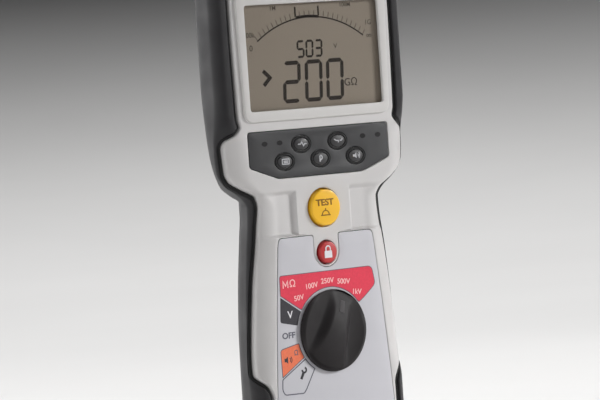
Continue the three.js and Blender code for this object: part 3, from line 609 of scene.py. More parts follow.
def rim_curves():
    """The pale shell's outline and the outer skin's outline, matched point for point."""
    levels = np.concatenate((np.arange(11, 24, 2.2), np.arange(24, 46, 0.9), np.arange(46, 104, 2.4),
                             np.arange(104, 154, 0.6), np.arange(154, 206.5, 2.6), [207]))
    skin_levels = np.interp(levels, [11, 30, 160, 207], [12, 30, 160, LENGTH - TOP_CORNER])
    flat_steps = np.linspace(0, 1, 14)[:-1]
    half_bottom = PALE_HALF_FOOT - PALE_LOW_CORNER
    half_top = PALE_HALF_HEAD - PALE_HIGH_CORNER
    skin_top = HALF_HEAD - TOP_CORNER
    back_steps = 1 - np.linspace(0, 1, 14)
    pale = np.vstack((
        np.column_stack((flat_steps * half_bottom, np.full(13, PALE_BOTTOM))),
        arc(half_bottom, PALE_BOTTOM + PALE_LOW_CORNER, PALE_LOW_CORNER, -90, 0, 9)[:-1],
        np.column_stack((PALE_EDGE(levels), levels)),
        arc(half_top, PALE_TOP - PALE_HIGH_CORNER, PALE_HIGH_CORNER, 0, 90, 11)[1:-1],
        np.column_stack((back_steps * half_top, np.full(14, PALE_TOP))),
    ))
    skin = np.vstack((
        np.column_stack((flat_steps * half_bottom, np.zeros(13))),
        arc(HALF_FOOT - BOTTOM_CORNER, BOTTOM_CORNER, BOTTOM_CORNER, -90, 0, 9)[:-1],
        np.column_stack((SKIN(skin_levels), skin_levels)),
        arc(skin_top, LENGTH - TOP_CORNER, TOP_CORNER, 0, 90, 11)[1:-1],
        np.column_stack((back_steps * skin_top, np.full(14, LENGTH))),
    ))
    return mirrored(pale), mirrored(skin)


PALE_LOOP, SKIN_LOOP = rim_curves()


def ring_solid(sections):
    """A closed ring from matched loops of (x, depth, z), one row for each point round the body."""
    vertices = np.vstack(sections)
    return vertices, grid_faces(len(sections), len(sections[0]), wrap_rows=True, wrap_columns=True)


def at_depth(loop, depth):
    depths = np.broadcast_to(depth, len(loop))
    return np.column_stack((loop[:, 0], depths, loop[:, 1]))


def subtract(piece, cutters):
    """Cuts solids from a piece and bakes the result into its mesh."""
    for cutter in cutters:
        modifier = piece.modifiers.new("cut", "BOOLEAN")
        modifier.operation = "DIFFERENCE"
        modifier.solver = "MANIFOLD"
        modifier.object = cutter
    bake(piece)
    for cutter in cutters:
        bpy.data.objects.remove(cutter)


def bake(piece, sharp=40):
    graph = bpy.context.evaluated_depsgraph_get()
    mesh = bpy.data.meshes.new_from_object(piece.evaluated_get(graph))
    piece.modifiers.clear()
    piece.data = mesh
    mesh.shade_smooth()
    mesh.set_sharp_from_angle(angle=math.radians(sharp))


def cutter_box(x, depth, z):
    """A box cutter from its low and high end along each axis."""
    corners = [(x[i], depth[j], z[k]) for i in (0, 1) for j in (0, 1) for k in (0, 1)]
    faces = [(0, 1, 3, 2), (4, 6, 7, 5), (0, 4, 5, 1), (2, 3, 7, 6), (0, 2, 6, 4), (1, 5, 7, 3)]
    return cutter_from(Builder().add(corners, faces))


def cutter_from(builder):
    mesh = bpy.data.meshes.new("cutter")
    mesh.from_pydata([place(*v) for v in builder.vertices], [], builder.faces)
    cutter = bpy.data.objects.new("cutter", mesh)
    bpy.context.scene.collection.objects.link(cutter)
    return cutter


# ---------------------------------------------------------------- face layout
TEST = (0, 109.3, 8.85)
LOCK = (0, 89.2, 5.56)
KNOB = (0, 54.1, 18.4)
KEYS = {"key_upper_left": (-10.2, 138.5), "key_upper_right": (10.2, 138.5), "key_lower_left": (-20, 131.2),
        "key_lower_centre": (0, 131.2), "key_lower_right": (20, 131.2)}
WINDOW = box_outline(-37.3, 37.3, 154.2, 201, 1.5)


def fascia_outline(grow):
    side, top = 39.2 + grow, 145.1 + grow
    return rounded([(-23.6 - grow / 2, 124 - grow), (23.6 + grow / 2, 124 - grow), (side, 129.5 - grow / 2),
                    (side, top), (-side, top), (-side, 129.5 - grow / 2)], 1.6)


def label_outline(grow):
    notch = 7.2 - grow
    high = 97.3 + grow
    right = [(33.4 + grow, 11 - grow), (31.9 + grow, 35), (29.7 + grow, 64), (27 + grow, 92),
             (26.2 + grow, high), (notch, high)]
    bowl = [tuple(point) for point in arc(0, LOCK[1] + 0.5, notch, 0, -180, 13)]
    left = [(-x, z) for x, z in reversed(right)]
    outline = [*right, *bowl, *left]
    radii = [2.5, 0, 0, 0, 2.2, 1.2] + [0] * len(bowl) + [1.2, 2.2, 0, 0, 0, 2.5]
    return rounded(outline, radii, 6)


def thumb_pocket(points):
    """Depth of the scoops on both sides of the test button."""
    x, z = np.abs(points[:, 0]), points[:, 1]

    def ramp(value, start, end):
        return ease((value - start) / (end - start))

    across = ramp(x, 15.0, 15.9)
    fade = 1 - ramp(x, 24, 33)
    along = ramp(z, 97.9, 98.9) * (1 - ramp(z, 116.4, 118.3))
    return 2.0 * across * (0.35 + 0.65 * fade) * along


# ---------------------------------------------------------------- case
def pale_shell():
    holes = [box_outline(-38.9, 38.9, 152.6, 202.6, 2), fascia_outline(0.25), label_outline(0.25),
             ellipse(*TEST, TEST[2], 72), ellipse(*LOCK, LOCK[2], 56)]
    fine = [((-36, 96.5), (36, 121), 0.8)]
    wall = 3.2
    builder = Builder()
    builder.add(*plate(PALE_LOOP, holes, lambda p: face_depth(p) + thumb_pocket(p),
                       lambda p: face_depth(p) + wall, rounding=0.8, hole_rounding=0.35, spacing=1.6,
                       fine=fine))
    depths = (8.2, 11, 14, 17, SPLIT)
    inside_wall = [inner_wall(depth, 7.2, 4.1) for depth in depths]
    outside_wall = [inner_wall(depth, 4.6, 1.5) for depth in reversed(depths)]
    builder.add(*ring_solid([*inside_wall, *outside_wall][::-1]))
    shell = builder.piece("pale_shell", "pale", sharp=50)
    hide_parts("front_case")


def overmould_skin():
    inner = grown(PALE_LOOP, GROOVE)
    reach = SKIN_LOOP - inner
    width = np.linalg.norm(reach, axis=1)[:, None]
    toward = reach / width
    normal = normals_of(SKIN_LOOP)
    edge = np.minimum(0.6, 0.4 * width)
    sections = [at_depth(grown(PALE_LOOP, 0.7), GROOVE_FLOOR + 0.4), at_depth(inner, GROOVE_FLOOR + 0.4),
                at_depth(inner, (GROOVE_FLOOR + face_depth(inner)) / 2)]
    for step in EDGE_STEPS:
        spot = inner + toward * edge * step
        sections.append(at_depth(spot, face_depth(spot) + edge_fall(step, edge[:, 0])))
    start = edge / width
    for share in (0.16, 0.32, 0.47, 0.6, 0.71, 0.8, 0.87, 0.925, 0.965, 0.99, 1.0):
        spot = inner + reach * (start + (1 - start) * share)
        sections.append(at_depth(spot, face_depth(spot)))
    rim_depth = face_depth(SKIN_LOOP)
    last = SPLIT - 0.5
    below = 1 - ease((SKIN_LOOP[:, 1] - 108) / 5)
    # below the head the side has a shallow groove, cut to these depths at these shares of the way back
    for share, cut in ((0.12, 0), (0.26, 0), (0.4, 0), (0.53, 0), (0.64, 0), (0.66, 0.75), (0.73, 0.75),
                       (0.75, 0.05), (0.88, 0), (1.0, 0.1)):
        depth = rim_depth + (last - rim_depth) * share
        loop, _ = flank_loop(depth)
        sections.append(at_depth(loop - normal * (cut * below)[:, None], depth))
    back, _ = flank_loop(last)
    sections.append(at_depth(grown(back, -0.12), SPLIT - 0.15))
    sections.append(at_depth(grown(back, -0.5), SPLIT))
    # an inner lip reaches almost to the rear half, so the seam is a groove and not an open slit
    sections.append(at_depth(grown(back, -0.55), SPLIT + 0.1))
    sections.append(at_depth(grown(back, -0.6), SPLIT + SEAM - 0.03))
    for depth in (SPLIT + SEAM - 0.03, 17, 14, 11, GROOVE_FLOOR + 0.6):
        sections.append(inner_wall(depth, 4.3, 1.2))
    skin = Builder().add(*ring_solid(sections)).piece("rubber_overmould", "rubber", sharp=50)
    subtract(skin, [terminal_cutter()])
    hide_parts("overmould")


def terminal_cutter():
    low, high = cad_box("terminal_panel")
    low -= 0.3
    high += 0.3
    return cutter_box((low[0], high[0]), (low[1], high[1]), (low[2], LENGTH + 32))


def groove_painted_shade_ring():
    # A near-black ring laid in the groove between the pale shell and the overmould: painted shade for the
    # dark groove, in the place of the CAD case seal.
    inner, outer = grown(PALE_LOOP, 0.25), grown(PALE_LOOP, GROOVE - 0.25)
    middle = grown(PALE_LOOP, GROOVE / 2)
    top = np.minimum(face_depth(middle) + 1.1, GROOVE_FLOOR - 0.6)
    sections = [at_depth(inner, GROOVE_FLOOR), at_depth(inner, top + 0.35),
                at_depth(grown(PALE_LOOP, 0.55), top + 0.1), at_depth(middle, top),
                at_depth(grown(PALE_LOOP, GROOVE - 0.55), top + 0.1), at_depth(outer, top + 0.35),
                at_depth(outer, GROOVE_FLOOR)]
    seal = Builder().add(*ring_solid(sections)).piece("groove_painted_shade_ring", "seal", sharp=60)
    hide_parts("case_seal")


def display_frame():
    outer = rounded([(-40.6, 149.3), (40.6, 149.3), (42.2, 206.3), (-42.2, 206.3)], 5, 12)
    frame_plate = plate(outer, [WINDOW], level(-1.2), level(-0.02), rounding=0.75, hole_rounding=0.55,
                        spacing=4)
    bezel = Builder().add(*frame_plate).piece("display_frame", "bezel", sharp=50)
    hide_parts("display_bezel")


def control_film():
    film_plate = plate(label_outline(0), [ellipse(*KNOB[:2], 4.4, 4.4)], level(0), level(0.4), rounding=0.12,
                       hole_rounding=0.1, spacing=6)
    film = Builder().add(*film_plate).piece("control_film", "label", sharp=50)
    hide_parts("control_label")


def key_panel():
    holes = [ellipse(x, z, 5.5, 4) for x, z in KEYS.values()]
    panel_plate = plate(fascia_outline(0), holes, level(0), level(0.7), rounding=0.2, hole_rounding=0.35,
                        spacing=5)
    panel = Builder().add(*panel_plate).piece("key_panel", "fascia", sharp=50)
    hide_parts("keypad_fascia")


pale_shell()
overmould_skin()
groove_painted_shade_ring()
display_frame()
control_film()
key_panel()


# ---------------------------------------------------------------- keys and buttons
def dome(radius, rim_depth, crown, rounding, base, flange=()):
    """A turned profile: crowned top, rounded edge, straight side, then any flange steps."""
    profile = [(0, rim_depth - crown)]
    inner = radius - rounding
    for share in (0.25, 0.5, 0.75, 0.93):
        profile.append((inner * share, rim_depth - crown * (1 - share ** 2)))
    for turn in np.radians([0, 18, 36, 54, 72, 90]):
        profile.append((inner + rounding * math.sin(turn), rim_depth + rounding * (1 - math.cos(turn))))
    profile.append((radius, base))
    profile.extend(flange)
    profile.append((0, profile[-1][1]))
    return profile


def soft_keys():
    """Oval caps: each is turned round and then has its height along the body taken in."""
    reach, slimmer = 4.2, 1.5
    for name, (x, z) in KEYS.items():
        profile = dome(reach, -0.45, 0.35, 0.8, 1.8, [(5.2, 2.1), (5.2, 3.6), (6.2, 3.7), (6.2, 4.1)])
        vertices, faces = turned(profile, 0, 0, sides=56)
        reshaped = []
        for vx, depth, vz in vertices:
            radius = math.hypot(vx, vz)
            squash = (radius - slimmer) / radius if radius > reach else (reach - slimmer) / reach
            reshaped.append((x + vx, depth, z + vz * squash))
        cap_name = name.replace("key_", "soft_key_")
        cap = Builder().add(reshaped, faces).piece(cap_name, "keycap", name + "_press")
        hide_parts(name)
        # Each near-black ring fills the gap round a cap, a little proud of the panel: painted shade for that
        # gap, in front of the black keypad mat.
        sections = [at_depth(ellipse(x, z, half_x, half_x - slimmer), depth) for half_x, depth in (
            (4.35, 0.9), (4.4, 0.05), (4.6, -0.12), (5.0, -0.12), (5.3, 0.05), (5.35, 0.9))]
        Builder().add(*ring_solid(sections)).piece(name.replace("key_", "key_shade_ring_"), "seal")


def round_buttons():
    for name, node, (x, z, radius), height, material, slot in (
            ("test_push_button", "test_button", TEST, 2.2, "yellow", "yellow_button"),
            ("lock_push_button", "lock_button", LOCK, 1.8, "red", "red_button")):
        rounding = 0.7
        cap = radius - rounding
        flange = [(cap, 3.4), (radius + 1, 3.5), (radius + 1, 4.5), (1.5, 4.6), (1.5, 6)]
        solid = turned(dome(cap, -height + 0.35, 0.3, rounding, 1.2, flange), x, z, sides=96)
        button = Builder().add(*solid).piece(name, material, node.replace("_button", "_press"))
        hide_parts(node)


def tidy_normals(piece):
    """Turns every face of a closed piece outwards."""
    mesh = piece.data
    work = bmesh.new()
    work.from_mesh(mesh)
    bmesh.ops.recalc_face_normals(work, faces=work.faces)
    work.to_mesh(mesh)
    work.free()


SPRING_TURNS = 3


def coil_springs():
    """A coil under each round button, filling the box of the CAD spring."""
    for node, joint, wire in (("test_spring", "test_travel", 0.35), ("lock_spring", "lock_travel", 0.3)):
        low, high = cad_box(node)
        centre = (low + high) / 2
        radius = (high[0] - low[0]) / 2 - wire
        start, end = low[1] + wire, high[1] - wire
        steps, sides = 32 * SPRING_TURNS, 10
        vertices = []
        for step in range(steps + 1):
            turn = 2 * math.pi * SPRING_TURNS * step / steps
            middle = start + (end - start) * step / steps
            for k in range(sides):
                around = 2 * math.pi * k / sides
                reach = radius + wire * math.cos(around)
                vertices.append((centre[0] + reach * math.cos(turn), middle + wire * math.sin(around),
                                 centre[2] + reach * math.sin(turn)))
        coil = Builder().add(vertices, tube_faces(steps + 1, sides)).piece(
            node.replace("spring", "coil"), "steel")
        tidy_normals(coil)
        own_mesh(coil)
        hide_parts(node)


soft_keys()
round_buttons()
coil_springs()


# ---------------------------------------------------------------- range knob
KNOB_BASE = 0.6
KNOB_RIM = 1.0
KNOB_CROWN = 4.4
KNOB_TURN = math.radians(22.5)


def knob_height(across, along):
    """Height over the knob's base: across is to the right of the pointer, along is towards it."""
    side = np.abs(across)
    half_grip = 2.9 + 0.0072 * np.maximum(13 - along, 0) ** 2
    crown = KNOB_CROWN - 0.011 * (along + 2) ** 2 - 0.012 * np.minimum(side, half_grip) ** 2
    scoop = 0.9 + 0.02 * (side - 8.5) ** 2
    height = crown + (scoop - crown) * ease((side - half_grip) / 4.6)
    rim = ease((1 - np.hypot(across, along) / KNOB[2]) / 0.12)
    return np.where(height > KNOB_RIM, KNOB_RIM + (height - KNOB_RIM) * rim, height)


def on_knob(across, along, height):
    """(x, depth, z) of a point given in the knob's own directions."""
    x = KNOB[0] + across * math.cos(KNOB_TURN) + along * math.sin(KNOB_TURN)
    z = KNOB[1] - across * math.sin(KNOB_TURN) + along * math.cos(KNOB_TURN)
    return x, -KNOB_BASE - height, z


def knob():
    sides = 144
    shares = np.concatenate((np.linspace(0.02, 0.8, 40), np.linspace(0.815, 0.985, 16)))
    vertices = [on_knob(0, 0, float(knob_height(0, 0)))]
    rim_rings = [(0.994, 0.95), (1.0, 0.8), (1.0, 0.2), (0.99, 0.0), (0.3, 0.0)]
    rings = [(share, None) for share in shares] + rim_rings
    for share, fixed in rings:
        for k in range(sides):
            turn = -2 * math.pi * k / sides
            across = KNOB[2] * share * math.cos(turn)
            along = KNOB[2] * share * math.sin(turn)
            height = float(knob_height(across, along)) if fixed is None else fixed
            vertices.append(on_knob(across, along, height))
    vertices.append(on_knob(0, 0, 0))
    faces = [(0, 1 + (k + 1) % sides, 1 + k) for k in range(sides)]
    faces += [tuple(1 + v for v in face)[::-1] for face in grid_faces(len(rings), sides, wrap_columns=True)]
    last = 1 + (len(rings) - 1) * sides
    faces += [(len(vertices) - 1, last + k, last + (k + 1) % sides) for k in range(sides)]
    outward = [face[::-1] for face in faces]
    grip = Builder().add(vertices, outward).piece("knob_grip", "knob", "knob", sharp=60)
    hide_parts("range_knob")


def knob_surface(points):
    """Depth of the grip's surface at (x, z) points."""
    east, north = points[:, 0] - KNOB[0], points[:, 1] - KNOB[1]
    across = east * math.cos(KNOB_TURN) - north * math.sin(KNOB_TURN)
    along = east * math.sin(KNOB_TURN) + north * math.cos(KNOB_TURN)
    return -KNOB_BASE - knob_height(across, along)


def pointer_inlay():
    """The inlay let into the top of the grip at its pointing end, standing a little proud of it."""
    half, start, end, proud = 1.5, 8.3, 14.0, 0.12
    outline = [on_knob(across, along, 0) for across, along in box_outline(-half, half, start, end, 0.4, 4)]
    outline = np.array(outline)[:, ::2]
    solid = plate(outline, [], lambda p: knob_surface(p) - proud, lambda p: knob_surface(p) + 0.5,
                  rounding=0.2, spacing=0.45)
    inlay = Builder().add(*solid).piece("pointer_inlay", "inlay", "knob", sharp=60)
    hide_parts("knob_pointer")


knob()
pointer_inlay()


# ---------------------------------------------------------------- printed and moulded marks
def flat_mark(outline, front, back, holes=()):
    """A thin solid from an outline: its front lies at one depth and its back at another."""
    outline = anticlockwise(outline)
    holes = [anticlockwise(hole) for hole in holes]
    loops = [outline, *holes]
    flat = [Vector((x, z, 0)) for loop in loops for x, z in loop]
    triangles = tessellate_polygon([[Vector((x, z, 0)) for x, z in loop] for loop in loops])
    count = len(flat)
    vertices = [(v.x, front, v.y) for v in flat] + [(v.x, back, v.y) for v in flat]
    faces = []
    for a, b, c in triangles:
        turn = (flat[b] - flat[a]).cross(flat[c] - flat[a]).z
        front_face = (a, b, c) if turn > 0 else (a, c, b)
        faces.append(front_face)
        faces.append(tuple(count + k for k in reversed(front_face)))
    start = 0
    for index, loop in enumerate(loops):
        for k in range(len(loop)):
            a, b = start + k, start + (k + 1) % len(loop)
            wall = (b, a, a + count, b + count)
            faces.append(wall if index == 0 else wall[::-1])
        start += len(loop)
    return vertices, faces


def stroke(points, width, closed=False):
    """The outline of a line of one width drawn through points, with square mitred joints."""
    points = np.asarray(points, float)
    fresh = np.linalg.norm(points - np.roll(points, 1, axis=0), axis=1) > 0.02
    fresh[0] = True
    points = points[fresh]
    before = np.roll(points, 1, axis=0)
    after = np.roll(points, -1, axis=0)
    if not closed:
        before[0] = 2 * points[0] - points[1]
        after[-1] = 2 * points[-1] - points[-2]
    arriving = (points - before) / np.linalg.norm(points - before, axis=1)[:, None]
    leaving = (after - points) / np.linalg.norm(after - points, axis=1)[:, None]
    middle = arriving + leaving
    middle /= np.linalg.norm(middle, axis=1)[:, None]
    side = np.column_stack((-middle[:, 1], middle[:, 0]))
    lean = np.maximum((middle * leaving).sum(axis=1), 0.5)
    offset = side * (width / 2 / lean)[:, None]
    if closed:
        return points + offset, points - offset
    return np.vstack((points + offset, (points - offset)[::-1]))


class Marks:
    """Gathers marks of one ink into one piece."""

    def __init__(self, front, back):
        self.builder = Builder()
        self.front = front
        self.back = back

    def fill(self, outline, holes=()):
        self.builder.add(*flat_mark(outline, self.front, self.back, holes))
        return self

    def line(self, points, width, closed=False):
        if not closed:
            return self.fill(stroke(points, width))
        one, other = stroke(points, width, True)
        outer, inner = (one, other) if np.ptp(one[:, 0]) > np.ptp(other[:, 0]) else (other, one)
        return self.fill(outer, [inner])

    def text(self, words, x, z, height, angle=0, squeeze=1.0, weight=0.0):
        """Words centred on a point, capital letters of the given height."""
        curve = bpy.data.curves.new("words", "FONT")
        curve.body = words
        curve.align_x = "CENTER"
        curve.align_y = "CENTER"
        curve.resolution_u = 5
        curve.size = height / CAPITAL_SHARE
        curve.offset = weight
        curve.extrude = 1
        holder = bpy.data.objects.new("words", curve)
        bpy.context.scene.collection.objects.link(holder)
        graph = bpy.context.evaluated_depsgraph_get()
        mesh = bpy.data.meshes.new_from_object(holder.evaluated_get(graph))
        turn = math.radians(angle)
        vertices = []
        for vertex in mesh.vertices:
            across, up, out = vertex.co
            across *= squeeze
            depth = self.front if out > 0 else self.back
            vertices.append((x + across * math.cos(turn) - up * math.sin(turn), depth,
                             z + across * math.sin(turn) + up * math.cos(turn)))
        self.builder.add(vertices, [tuple(face.vertices) for face in mesh.polygons])
        bpy.data.objects.remove(holder)
        return self

    def piece(self, name, material, body="root"):
        return self.builder.piece(name, material, body, sharp=30)


CAPITAL_SHARE = 0.7
# front and back of the printed layers, each a little proud of the one under it
PRINT = (-0.03, 0.05)
OUTLINE_PRINT = (-0.05, 0.05)
TOP_PRINT = (-0.06, 0.05)


def knob_arc(start, end, radius=19.5):
    steps = max(3, int(abs(end - start) / 4))
    return [tuple(p) for p in arc(KNOB[0], KNOB[1], radius, start, end, steps)]


def zone(before, before_radii, start, end, after=(), after_radii=()):
    """A printed field with one side along the knob: the corners before and after it, with their radii."""
    curve = knob_arc(start, end)
    return rounded([*before, *curve, *after], [*before_radii, *[0] * len(curve), *after_radii])


def range_zones():
    return {
        "red": zone([(26.3, 72.6), (24.8, 80.9), (-27.3, 80.9), (-27.5, 72.1), (-17.3, 65.4)],
                    [2, 2.4, 1.2, 0.1, 0.1], 146, 39, [(16.3, 65.2), (19.9, 67.6)], [0.6, 1]),
        "black": zone([(-27.6, 71.4), (-28.5, 60.2), (-19.3, 58.2)], [0.2, 1.2, 0.2], 167, 149,
                      [(-17.9, 65.0)], [0.2]),
        "orange": zone([(-29.4, 48.2), (-29.2, 35.9)], [1.4, 0.3], 212, 192, [(-20.3, 50)], [0.2]),
        "white": zone([(-29.3, 35.0), (-29.7, 30.3), (-28.4, 28.1), (-17.9, 27.8), (-16.5, 29.4)],
                      [0.6, 1, 1, 0.8, 0.8], 235, 215),
    }


def control_print():
    zones = range_zones()
    for field in ("red", "black", "orange"):
        Marks(*PRINT).fill(zones[field]).piece("print_" + field + "_zone", "ink_" + field)
    edges = Marks(*OUTLINE_PRINT)
    for field, width in (("orange", 0.36), ("red", 0.3), ("white", 0.5)):
        edges.line(zones[field], width, closed=True)
    edges.text("OFF", -24.4, 54.1, 2.6, squeeze=1.1, weight=0.1)
    edges.text("Ω", -20.9, 46.1, 2.2, weight=0.05)
    edges.piece("print_outlines", "ink_dark")
    symbols = Marks(*TOP_PRINT)
    symbols.fill([(-27.6, 42.6), (-26.7, 42.6), (-25.7, 41.8), (-25.7, 45), (-26.7, 44.2), (-27.6, 44.2)])
    for radius in (1.3, 2.1):
        symbols.line(arc(-25.6, 43.4, radius, -42, 42, 7), 0.4)
    symbols.line([(-19.1, 34.2), (-17.6, 36.9)], 1.3)
    symbols.line(arc(-17.1, 38.1, 1.15, -190, 70, 12), 0.85)
    symbols.piece("print_symbols", "ink_black")
    pale = Marks(*TOP_PRINT)
    pale.line([(-25.6, 75.3), (-25.6, 78.4), (-24.3, 76.3), (-23.0, 78.4), (-23.0, 75.3)], 0.55)
    pale.text("Ω", -20.4, 76.9, 3.1, squeeze=1.05, weight=0.04)
    for words, x, z, angle in (("50V", -17.3, 70.3, 6), ("100V", -9.9, 75.0, 5), ("250V", -0.8, 76.4, 0),
                               ("500V", 8.3, 75.3, -5), ("1kV", 15.4, 70.0, -6)):
        pale.text(words, x, z, 2.3, angle, squeeze=1.05, weight=0.05)
    pale.piece("print_range_legends", "ink_pink")
    Marks(*TOP_PRINT).text("V", -22.8, 63.2, 3.2, weight=0.06).piece("print_volts_legend", "ink_white")


def seven_segment(marks, digit, x, z, width, height, thick, lean=0.055):
    """A seven-segment figure with its lower left corner at (x, z)."""
    lit = {"0": "abcdef", "2": "abged", "3": "abgcd", "5": "afgcd"}[digit]
    half = thick / 2
    gap = thick * 0.05
    left, right = half, width - half
    low, mid, high = half, height / 2, height - half
    ends = {"a": ((left, high), (right, high)), "b": ((right, mid), (right, high)),
            "c": ((right, low), (right, mid)), "d": ((left, low), (right, low)),
            "e": ((left, low), (left, mid)), "f": ((left, mid), (left, high)),
            "g": ((left, mid), (right, mid))}
    for name in lit:
        (x0, z0), (x1, z1) = ends[name]
        if z0 == z1:
            first, last = x0 + gap, x1 - gap
            shape = [(first, z0), (first + half, z0 - half), (last - half, z0 - half), (last, z0),
                     (last - half, z0 + half), (first + half, z0 + half)]
        else:
            first, last = z0 + gap, z1 - gap
            shape = [(x0, first), (x0 + half, first + half), (x0 + half, last - half), (x0, last),
                     (x0 - half, last - half), (x0 - half, first + half)]
        marks.fill([(x + px + pz * lean, z + pz) for px, pz in shape])


def display_print():
    face = cad_box("display_panel")[0][1]
    layer = (face - 0.06, face + 0.05)
    strong = Marks(*layer)
    for digit, x in (("2", -17.6), ("0", -5.3), ("0", 6.7)):
        seven_segment(strong, digit, x, 156.8, 9.9, 18.7, 1.8)
    strong.line([(-27.7, 171.9), (-24.1, 168.7), (-27.7, 165.4)], 1.8)
    strong.piece("display_main_figures", "segment")
    soft = Marks(*layer)
    faint = Marks(*layer)
    for digit, x in (("5", -8.5), ("0", -3.5), ("3", 1.6)):
        seven_segment(soft, digit, x, 176.5, 4.4, 7.9, 1.0)
    soft.text("GΩ", 21, 164.2, 3.4, squeeze=1.05)
    scale_z, scale_radius = 144, 50.9
    soft.line(arc(0, scale_z, scale_radius - 0.3, 54, 126, 60), 0.6)
    soft.line(arc(-1.3, scale_z, scale_radius, 83, 97, 16), 1.25)
    centre = np.array((0, scale_z))
    for angle in np.linspace(54.5, 125.5, 25):
        along = np.array((math.cos(math.radians(angle)), math.sin(math.radians(angle))))
        tick_end = 52.2 if round(angle) % 3 else 53.4
        faint.line([centre + along * scale_radius, centre + along * tick_end], 0.3)
    for x in (-7.8, 5.2):
        soft.line([(x, 195), (x, 199.3)], 0.85)
    soft.piece("display_scale_and_voltage", "segment")
    for words, x, z, height in (("V", 13.6, 180.8, 2.2), ("100k", -34.2, 187.8, 2.2), ("0", -33.4, 182, 2.6),
                                ("1M", -20.2, 199.2, 2.0), ("100M", 20.4, 199.2, 2.0), ("1G", 33, 190.6, 2.2),
                                ("∞", 33.2, 184.6, 2.4)):
        faint.text(words, x, z, height, weight=0.03)
    faint.piece("display_faint_legends", "segment_faint")


# each key's symbol as lines of (points from the key's centre, width, closed)
KEY_LINES = {
    "key_upper_left": [([(-2.3, -0.1), (-0.9, -0.1), (-0.3, 0.8), (0.7, -0.9), (1.3, -0.1), (2.4, -0.1)],
                        0.52, False)],
    "key_upper_right": [([(-2.3, 0.8), (-1.2, 0.1), (0, 0.1), (0, -0.8)], 0.52, False),
                        ([(0.7, 0.1), (1.6, 0.1), (2.4, 0.9)], 0.52, False)],
    "key_lower_left": [(box_outline(-1.9, 1.9, -1.1, 1.1, 0.3, 3), 0.5, True),
                       ([(-1.2, 0.25), (1.2, 0.25)], 0.52, False),
                       ([(-1.2, -0.4), (1.2, -0.4)], 0.52, False)],
    "key_lower_centre": [([(-0.8, -1.4), (-0.8, 1.3)], 0.62, False),
                         (arc(-0.5, 0.45, 0.95, 90, -90, 9), 0.62, False)],
    "key_lower_right": [(arc(0.1, 0, radius, -45, 45, 7), 0.48, False) for radius in (0.9, 1.7)],
}
# the filled part of the lower right key's symbol
SPEAKER = [(-2, -0.5), (-1.1, -0.5), (-0.1, -1.3), (-0.1, 1.3), (-1.1, 0.5), (-2, 0.5)]


def key_marks():
    for name, centre in KEYS.items():
        marks = Marks(-0.86, -0.55)
        if name == "key_lower_right":
            marks.fill(np.add(SPEAKER, centre))
        for points, width, closed in KEY_LINES[name]:
            marks.line(np.add(points, centre), width, closed)
        marks.piece(name + "_symbol", "ink_grey", name + "_press")
    dots = Marks(*PRINT)
    for x in (-30.4, -22.1, 24.8, 33.5):
        dots.fill(ellipse(x, 139.7, 1.6, 1.1, 24))
    dots.piece("key_panel_dots", "seal")


def button_marks():
    x, z, _ = TEST
    words = Marks(-2.2, -1.9)
    x -= 0.8
    words.text("TEST", x, z + 2.2, 2.8, squeeze=1.12, weight=0.1)
    words.line([(x - 2.5, z - 3.4), (x + 2.7, z - 3.4)], 0.5)
    words.line(arc(x + 0.1, z - 3.2, 1.9, 0, 180, 13), 0.5)
    words.line([(x + 0.1, z - 1.3), (x + 0.1, z - 0.3)], 0.55)
    words.piece("test_button_legend", "ink_brown", "test_press")
    x, z, _ = LOCK
    lock = Marks(-1.8, -1.5)
    x -= 0.6
    lock.fill(box_outline(x - 1.9, x + 2.2, z - 2.5, z + 0.7, 0.35, 4))
    lock.line([(x - 1.1, z + 0.6), (x - 1.1, z + 1.6), *arc(x + 0.15, z + 1.6, 1.25, 180, 0, 9),
               (x + 1.4, z + 0.6)], 0.55)
    lock.piece("lock_button_symbol", "ink_white", "lock_press")


control_print()
display_print()
key_marks()
button_marks()


# ---------------------------------------------------------------- rear half, battery cover and stand
COVER_LOW, COVER_HIGH = 4.5, 114.0
COVER_DEPTH = 24.6
COVER_GAP = 0.05
TOP_SCREWS = ((-37.8, 208.4), (37.8, 208.4))
LOW_SCREWS = ((-25.8, 15), (25.8, 15))
COVER_SCREW = (0, 84)
BEYOND = 60  # deeper than the back and further than the sides, where cutters end
HINGE_DEPTH, HINGE_Z, HINGE_RADIUS = 44.9, 198, 1.4
LOFT_STEPS = (0, 0.25, 0.7, 1.3, 2.1, 3.2, 4.6, 6.3, 8.5, 11)


def rear_section(z, inset, start):
    """One slice of the rear half, as (x, depth) from the right front corner round to the left one."""
    from_bottom, from_top = z - inset, LENGTH - inset - z
    end = float(corner_drop(from_bottom, END_ROUND) + corner_drop(from_top, END_ROUND))
    corner = float(corner_drop(from_bottom, BOTTOM_CORNER) + corner_drop(from_top, TOP_CORNER))
    back = BODY_DEPTH - inset - end
    reach = float(FLANK(z)) - inset - corner - FLANK_GAP
    rounding = 3.6

    def side(depth):
        return max(reach - SIDE_SLOPE * (depth - FLANK_DEPTH), 1.5)

    half = [(side(depth), depth) for depth in np.linspace(start, back - rounding, 7)]
    for turn in np.radians([18, 36, 54, 72, 90]):
        depth = back - rounding + rounding * math.sin(turn)
        half.append((max(side(depth) - rounding * 0.75 * (1 - math.cos(turn)), 0.8), depth))
    return half + [(-x, depth) for x, depth in reversed(half)]


def rear_loft(low, high, inset=0.0, start=SPLIT + SEAM, cap=None):
    """A solid lofted along the body between two heights; cap limits how deep it reaches."""
    middle = np.concatenate((np.arange(14, 106, 4), np.arange(106, 128, 1.0), np.arange(128, 214, 4)))
    ends = [z for step in LOFT_STEPS for z in (low + step, high - step)]
    levels = sorted({round(z, 3) for z in [*ends, *middle] if low <= z <= high})
    vertices = []
    for z in levels:
        for x, depth in rear_section(z, inset, start):
            vertices.append((x, depth if cap is None else min(depth, cap), z))
    return vertices, tube_faces(len(levels), len(vertices) // len(levels))


